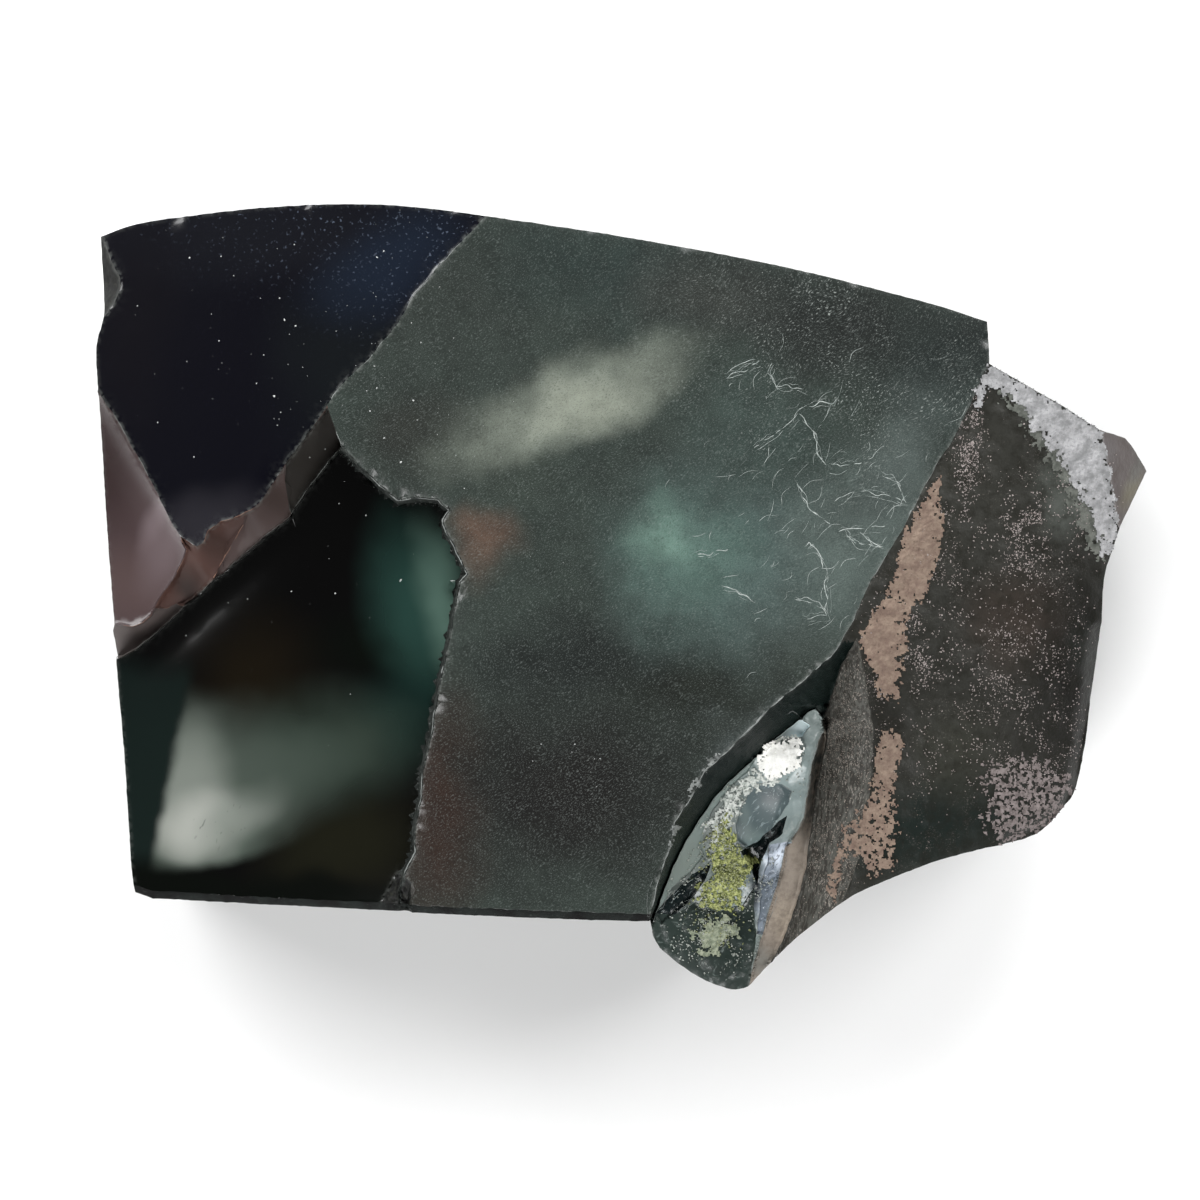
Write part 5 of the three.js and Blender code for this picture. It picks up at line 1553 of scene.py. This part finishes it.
skin_specks = [
    (72.9, 12.5, 3.5, 4.5, 1500), (69.0, -12.0, 8.0, 11.0, 2600), (61.0, 29.0, 1.6, 6.5, 1700),
    (58.0, 12.0, 3.0, 8.0, 700), (66.0, 0.0, 10.0, 16.0, 1100), (77.0, -25.0, 5.0, 7.0, 700),
    (53.5, -20.0, 3.0, 9.0, 600), (82.0, 20.0, 3.0, 6.0, 500), (53.5, -6.0, 2.0, 9.0, 900),
    (80.5, -10.0, 3.0, 12.0, 300), (45.0, -14.0, 2.0, 8.0, 500), (73.0, -30.0, 5.0, 4.0, 400)]
flecks = mineral("grey_pink_flecks", "#a89c98", "#cfc5c2", 0.8, light=1.65, speckle="#8a807c")
deposit("skin_flecks", scattered(skin_specks, (0.08, 0.29), (0.3, 0.8), 0.1, 5,
                                 ("skin", "tip")), flecks)
slope_specks = [(38.5, -26, 2.4, 9, 1500), (37, -46, 2.6, 6, 1300), (31, -60, 2, 4, 200),
                (43, -36, 3, 12, 900)]
deposit("slope_flecks", scattered(slope_specks, (0.06, 0.2), (0.3, 0.8), 0.08, 6,
                                  ("streaked", "skin")),
        mineral("dusty_flecks", "#8a8078", "#b0a69c", 0.8, light=1.2, speckle="#6d655e"))
grit_places = [(17.5, -43, 1.4, 2.2, 260), (19, -49, 2.0, 2.6, 900), (17, -54.5, 2.2, 1.8, 360),
               (18, -60, 2.6, 2.6, 160)]
deposit("hollow_grains", scattered(grit_places, (0.1, 0.34), (0.4, 1.0), 0.4, 7,
                                   ("hollow", "pale strip", "lower hollow", "dark pocket")),
        mineral("grit_grains", "#6b7340", "#c9cda4", 0.4, light=1.15, speckle="#222a1a"))
white_grains = [(16, -63, 4.5, 3.0, 600), (20, -37, 2.2, 3.4, 700), (26, -53, 1.6, 3.0, 260),
                (12, -52, 2.4, 2.5, 260), (28, -29, 2.4, 3.0, 260), (17.5, -44, 2.0, 3.0, 700),
                (18, -56, 2.6, 3.0, 700)]
deposit("white_grains", scattered(white_grains, (0.08, 0.3), (0.35, 0.9), 0.25, 8,
                                  ("hollow", "pale strip", "lower hollow", "dark pocket",
                                   "blue facet")),
        mineral("loose_lime_grains", "#9ea59d", "#cdd1cb", 0.8, light=1.2, speckle="#6f7a70"))
# the larger cut bubbles one by one, as (x, y, size) in millimetres
seed_spots = [
    (-78.0, 61.3, 0.4), (-72.3, 61.5, 0.25), (-70.0, 58.0, 0.25), (-59.1, 63.5, 0.32),
    (-44.2, 61.1, 0.45), (-43.0, 62.2, 0.28), (-61.7, 53.9, 0.34), (-60.8, 50.0, 0.5),
    (-58.8, 48.9, 0.4), (-87.4, 52.7, 0.34), (-74.0, 51.1, 0.26), (-72.6, 46.3, 0.32),
    (-64.5, 43.7, 0.28), (-78.4, 42.6, 0.2), (-84.2, 40.4, 0.16), (-65.8, 38.6, 0.26),
    (-62.6, 36.3, 0.5), (-61.4, 33.4, 0.28), (-61.7, 32.2, 0.2), (-62.0, 31.1, 0.26),
    (-83.6, 31.7, 0.3), (-77.0, 25.5, 0.34), (-73.7, 35.9, 0.18), (-51.5, 47.9, 0.22),
    (-38.0, 49.3, 0.26), (-36.3, 45.8, 0.26), (-44.6, 41.6, 0.28), (-46.0, 37.2, 0.3),
    (-44.2, 37.7, 0.34), (-37.7, 35.5, 0.46), (-45.4, 33.6, 0.34), (-37.0, 32.0, 0.28),
    (-31.4, 32.9, 0.2), (-33.4, 29.4, 0.22), (-42.9, 28.8, 0.5), (-39.9, 24.5, 0.5),
    (-28.6, 19.8, 0.22), (-30.5, 46.6, 0.24), (-33.0, 55.7, 0.24), (-53.6, 26.9, 0.34),
    (-56.3, 25.4, 0.28), (-51.2, 17.2, 0.32), (-46.4, 15.1, 0.34), (-59.9, 1.5, 0.3),
    (-52.0, 1.1, 0.36), (-67.8, 0.1, 0.26), (-71.3, -0.6, 0.16), (-79.0, -6.5, 0.22),
    (-49.3, -17.0, 0.2), (-40.2, 3.4, 0.7), (-14.9, -25.8, 0.26), (-8.9, -25.8, 0.34),
    (-4.4, -28.4, 0.28), (-9.4, -27.2, 0.22), (-16.4, -28.8, 0.2)]
rng = random.Random(23)
made_seeds = [flake(x, y, 0.75 * size, 0.75 * size * rng.uniform(0.55, 1.0), 0.04,
                    rng.uniform(0, math.pi), rng) for x, y, size in seed_spots]
seed_places = [
    (-64, 45, 16, 13, 90), (-40, 50, 8, 10, 60), (-30, 34, 9, 9, 40), (-60, 0, 12, 12, 20),
    (0, 40, 24, 14, 60), (10, -30, 20, 14, 90)]
seeds = mineral("white_seed_rims", "#b3b7b5", "#d8dbd9", 0.6, light=1.42, speckle="#8a8e8c")
deposit("cut_seeds", [s for s in made_seeds if s]
        + scattered(seed_places, (0.05, 0.13), (0.6, 1.0), 0.03, 9, ("top", "dusk", "basin")),
        seeds)

# The scuffs on the top face
# Where the hazy top was knocked and dragged over stones it has fine white lines of crushed
# glass. They lie along the right, in short curved strokes and some longer ones.

scuff_lines = [
    [(17.8, 39.6), (21.3, 40.8), (24.2, 42.3)], [(18.6, 40.4), (20.6, 42.3), (23.2, 42.6)],
    [(26.3, 42.3), (25.4, 40.5), (26.9, 38.1), (29.0, 38.0), (31.9, 37.5)],
    [(31.3, 33.1), (32.2, 31.7), (33.7, 29.9), (34.2, 27.6), (34.8, 25.2), (36.0, 23.7),
     (38.9, 24.0), (41.9, 24.3), (44.2, 25.5), (46.0, 27.3)],
    [(32.8, 34.3), (34.8, 35.1), (36.9, 34.9), (37.8, 36.4)],
    [(37.5, 17.5), (39.5, 18.7), (41.9, 19.2), (44.8, 18.8), (47.2, 18.4), (49.2, 17.5)],
    [(45.8, 22.2), (48.3, 21.4), (49.3, 19.6), (49.6, 17.6)],
    [(38.4, 12.3), (41.3, 12.5), (44.2, 12.8), (47.5, 13.4)],
    [(41.9, 12.0), (44.2, 9.9), (46.0, 9.4)], [(39.4, 12.2), (40.6, 10.4), (44.6, 9.3)],
    [(31.9, 9.6), (33.1, 10.2), (34.8, 7.8), (35.7, 5.2), (35.9, 1.7), (35.7, -3.0)],
    [(30.1, 0.5), (32.5, 0.2), (34.8, -0.7), (36.0, -2.7), (31.9, -3.6)],
    [(12.8, 8.1), (15.4, 8.1), (18.4, 9.0)], [(17.5, 2.3), (20.1, 1.4), (22.5, -0.1)],
    [(23.0, 27.0), (27.0, 29.5), (31.0, 33.0)], [(30.6, 21.0), (33.0, 16.0), (37.4, 13.0)],
]
SCUFF_WIDTH = 0.11
SCUFF_COUNT = 120
SCUFF_SPREAD_X = (35, 11)
SCUFF_SPREAD_Y = (14, 15)
ROD_LIFT = 0.03
ROD_END = 0.15
ROD_TAPER = 8
ROD_STEP = 0.3
ROD_STEPS = (5, 26)
GAP_STEPS = (0, 3)


def rod(path, width):
    """A thin raised line of crushed glass: a three-sided rod, pointed at its ends."""
    path = np.asarray(path, float)[:, :2]
    corners, faces = [], []
    for k, ((x, y), (nx, ny)) in enumerate(zip(path, left_of(np.gradient(path, axis=0)))):
        z = ground(x, y)
        if z is None:
            return None
        to_end = min(k, len(path) - 1 - k) / len(path)
        half = width * (ROD_END + min(1, ROD_TAPER * to_end))
        corners += [(x - nx * half, y - ny * half, z - ROD_LIFT),
                    (x + nx * half, y + ny * half, z - ROD_LIFT), (x, y, z + ROD_LIFT)]
        if k:
            a = 3 * (k - 1)
            faces += [[a + i, a + (i + 1) % 3, a + 3 + (i + 1) % 3, a + 3 + i] for i in range(3)]
    last = len(corners) - 3
    return corners, [*faces, [2, 1, 0], [last, last + 1, last + 2]]


def splintered(line, width, seed, kept=0.75):
    """Rods along stretches of a line, with gaps between them."""
    line = respaced(line[:, :2], ROD_STEP)
    rng = random.Random(seed)
    rods, k = [], 0
    while k < len(line) - 4:
        count = rng.randint(*ROD_STEPS)
        stretch = line[k:k + count]
        inside = is_inside(rim, *stretch.T).all()
        if rng.random() < kept and len(stretch) > 3 and inside:
            rods.append(rod(stretch, width * rng.uniform(0.6, 1.2)))
        k += count + rng.randint(*GAP_STEPS)
    return [r for r in rods if r]


rng = random.Random(17)
scuffs = []
# each long scuff is a bundle of strokes: how far aside, how wide and how much of it is kept
strokes = [(0, 1.0, 1.0), (0.45, 0.6, 0.6), (-0.5, 0.5, 0.5), (0.9, 0.4, 0.4)]
for i, line in enumerate(scuff_lines):
    for shift, width, kept in strokes:
        aside = np.array(line) + (shift * 0.7, -shift)
        scuffs += splintered(roughened(respaced(aside, 0.4), 0.55, 1.3 + shift),
                             SCUFF_WIDTH * width, 30 * i + round(10 * shift), kept)
for _ in range(SCUFF_COUNT):
    x, y = rng.gauss(*SCUFF_SPREAD_X), rng.gauss(*SCUFF_SPREAD_Y)
    turn, long, bend = rng.uniform(0.1, 1.5), rng.uniform(1.0, 4.5), rng.uniform(-0.25, 0.25)
    tip = (x + long * math.cos(turn), y + long * math.sin(turn))
    middle = ((x + tip[0]) / 2 - bend * long * math.sin(turn),
              (y + tip[1]) / 2 + bend * long * math.cos(turn))
    ends = np.array([(x, y), tip])
    if (faces_at(ends[:, 0], ends[:, 1]) == 0).all() and is_inside(rim, *ends.T).all():
        line = curved([(x, y), middle, tip], 0.35)
        scuffs.append(rod(line, SCUFF_WIDTH * rng.uniform(0.3, 0.6)))
crushed_glass = mineral("crushed_white_glass", "#8a9490", "#cbd2ce", 1.2, roughness=0.6,
                        speckle="#6f7875")
deposit("scuff_marks", [s for s in scuffs if s], crushed_glass)

# The sharp edges between the breaks
# Where two breaks meet, the edge is splintered to a hair-fine pale line. On the brown ledge
# these lines are stained orange. They come and go along each edge.


def on_ledge(line):
    """The part of a line that is on the brown ledge."""
    ledge = [names.index(n) for n in ("ledge", *facets_of["ledge"])]
    return line[np.isin(faces_at(line[:, 0], line[:, 1]), ledge)]


BROWN_WIDTH = 0.06
brown_edges = [dusk_lip[14:], scoop_floor_edge, on_ledge(mauve_facet[:30]),
               on_ledge(grey_facet[:24]), on_ledge(foot_facet[:18])]
deposit("brown_edges", [r for i, line in enumerate(brown_edges) if len(line) > 5
                        for r in splintered(line, BROWN_WIDTH, 50 + i, 0.85)],
        mineral("orange_stained_splinters", "#7d5b4c", "#9c7a6a", 2.0, roughness=0.5,
                speckle="#5d453b"))

# each pale edge, its width in millimetres and how much of it is splintered
pale_edges = [
    (ridge, 0.08, 0.6), (dusk_lip[:16], 0.06, 0.5), (scoop_crest, 0.06, 0.4),
    (basin_crest, 0.045, 0.8), (chipped_step, 0.09, 0.35), (skin_crest, 0.05, 0.4),
    (top_lip, 0.13, 0.8), (hollow_ridge, 0.1, 0.8), (ledge_to_ridge, 0.06, 0.6),
    (pale_strip, 0.07, 0.5), (shell_facet, 0.08, 0.5), (blue_facet, 0.08, 0.6),
    (dark_pocket, 0.06, 0.5)]
lip_chips = [
    [(12.4, -33.4), (14.2, -30.8), (16.8, -28.0), (15.4, -28.2), (13.0, -31.2), (11.4, -34.6)],
    [(8.0, -44.4), (9.4, -42.2), (9.5, -40.4), (8.0, -42.0)]]
edge_glass = mineral("splintered_glass_edge", "#6d716f", "#959997", 2.0, roughness=0.5,
                     speckle="#50544f")
deposit("lip_chips", [crust(outline, 0.24, 0.06, 0.6, 0.1, 90 + i)
                      for i, outline in enumerate(lip_chips)], edge_glass)
deposit("pale_edges", [r for i, (line, width, kept) in enumerate(pale_edges)
                       for r in splintered(line, width, 70 + i, kept)],
        edge_glass)

# The floor, the light and the camera
# A plain white floor that curves up into a white wall all round, with four large soft lights.
# The camera looks straight down, as the photo does.

FLOOR_REACH = 2.2
FLOOR_BEND = 1.2
FLOOR_RINGS, FLOOR_SIDES = 12, 64
floor_points, floor_faces = [(0, 0, 0)], []
profile = [(FLOOR_REACH, 0.0)]
for i in range(1, FLOOR_RINGS + 1):
    bend = math.pi / 2 * i / FLOOR_RINGS
    profile.append((FLOOR_REACH + FLOOR_BEND * math.sin(bend), FLOOR_BEND * (1 - math.cos(bend))))
for radius, z in profile:
    for k in range(FLOOR_SIDES):
        turn = 2 * math.pi * k / FLOOR_SIDES
        floor_points.append((radius * math.cos(turn), radius * math.sin(turn), z))
floor_faces += [(0, 1 + k, 1 + (k + 1) % FLOOR_SIDES) for k in range(FLOOR_SIDES)]
for i in range(len(profile) - 1):
    low, high = 1 + i * FLOOR_SIDES, 1 + (i + 1) * FLOOR_SIDES
    floor_faces += [(low + k, high + k, high + (k + 1) % FLOOR_SIDES, low + (k + 1) % FLOOR_SIDES)
                    for k in range(FLOOR_SIDES)]
floor_mesh = bpy.data.meshes.new("white_floor")
floor_mesh.from_pydata(floor_points, [], floor_faces)
floor_mesh.shade_smooth()
floor = bpy.data.objects.new("white_floor", floor_mesh)
bpy.context.scene.collection.objects.link(floor)
paper, _, _ = started("matt_white_paper", Base_Color=(0.86, 0.86, 0.86, 1), Roughness=0.9,
                      Specular_IOR_Level=0.0)
floor_mesh.materials.append(paper)

LIGHT_DISTANCE = 1.3
LIGHT_SIZE = 0.8
soft_lights = [
    # azimuth, elevation, power
    (28, 30, 15.0), (80, 30, 13.0), (142, 30, 16.0), (245, 33, 19.0)]
for azimuth, elevation, power in soft_lights:
    turn, lift = math.radians(azimuth), math.radians(elevation)
    lamp = bpy.data.lights.new("soft_box", "AREA")
    lamp.shape = "SQUARE"
    lamp.size = LIGHT_SIZE
    lamp.energy = power
    light = bpy.data.objects.new("soft_box", lamp)
    out = Vector((math.cos(turn) * math.cos(lift), math.sin(turn) * math.cos(lift),
                  math.sin(lift)))
    light.location = out * LIGHT_DISTANCE
    light.rotation_euler = out.to_track_quat("Z", "Y").to_euler()
    bpy.context.scene.collection.objects.link(light)

world = bpy.data.worlds.new("dim_room")
world.use_nodes = True
world.node_tree.nodes["Background"].inputs["Color"].default_value = (0.05, 0.05, 0.05, 1)
bpy.context.scene.world = world
bpy.context.scene.view_settings.view_transform = "Standard"

# in metres, over the middle of the photo's field
CAMERA_PLACE = (-0.00441, -0.00009, 1.245)
CAMERA_LENS = 200
camera_data = bpy.data.cameras.new("camera")
camera_data.lens = CAMERA_LENS
camera_data.sensor_width = 36
camera = bpy.data.objects.new("camera", camera_data)
camera.location = CAMERA_PLACE
bpy.context.scene.collection.objects.link(camera)
bpy.context.scene.camera = camera
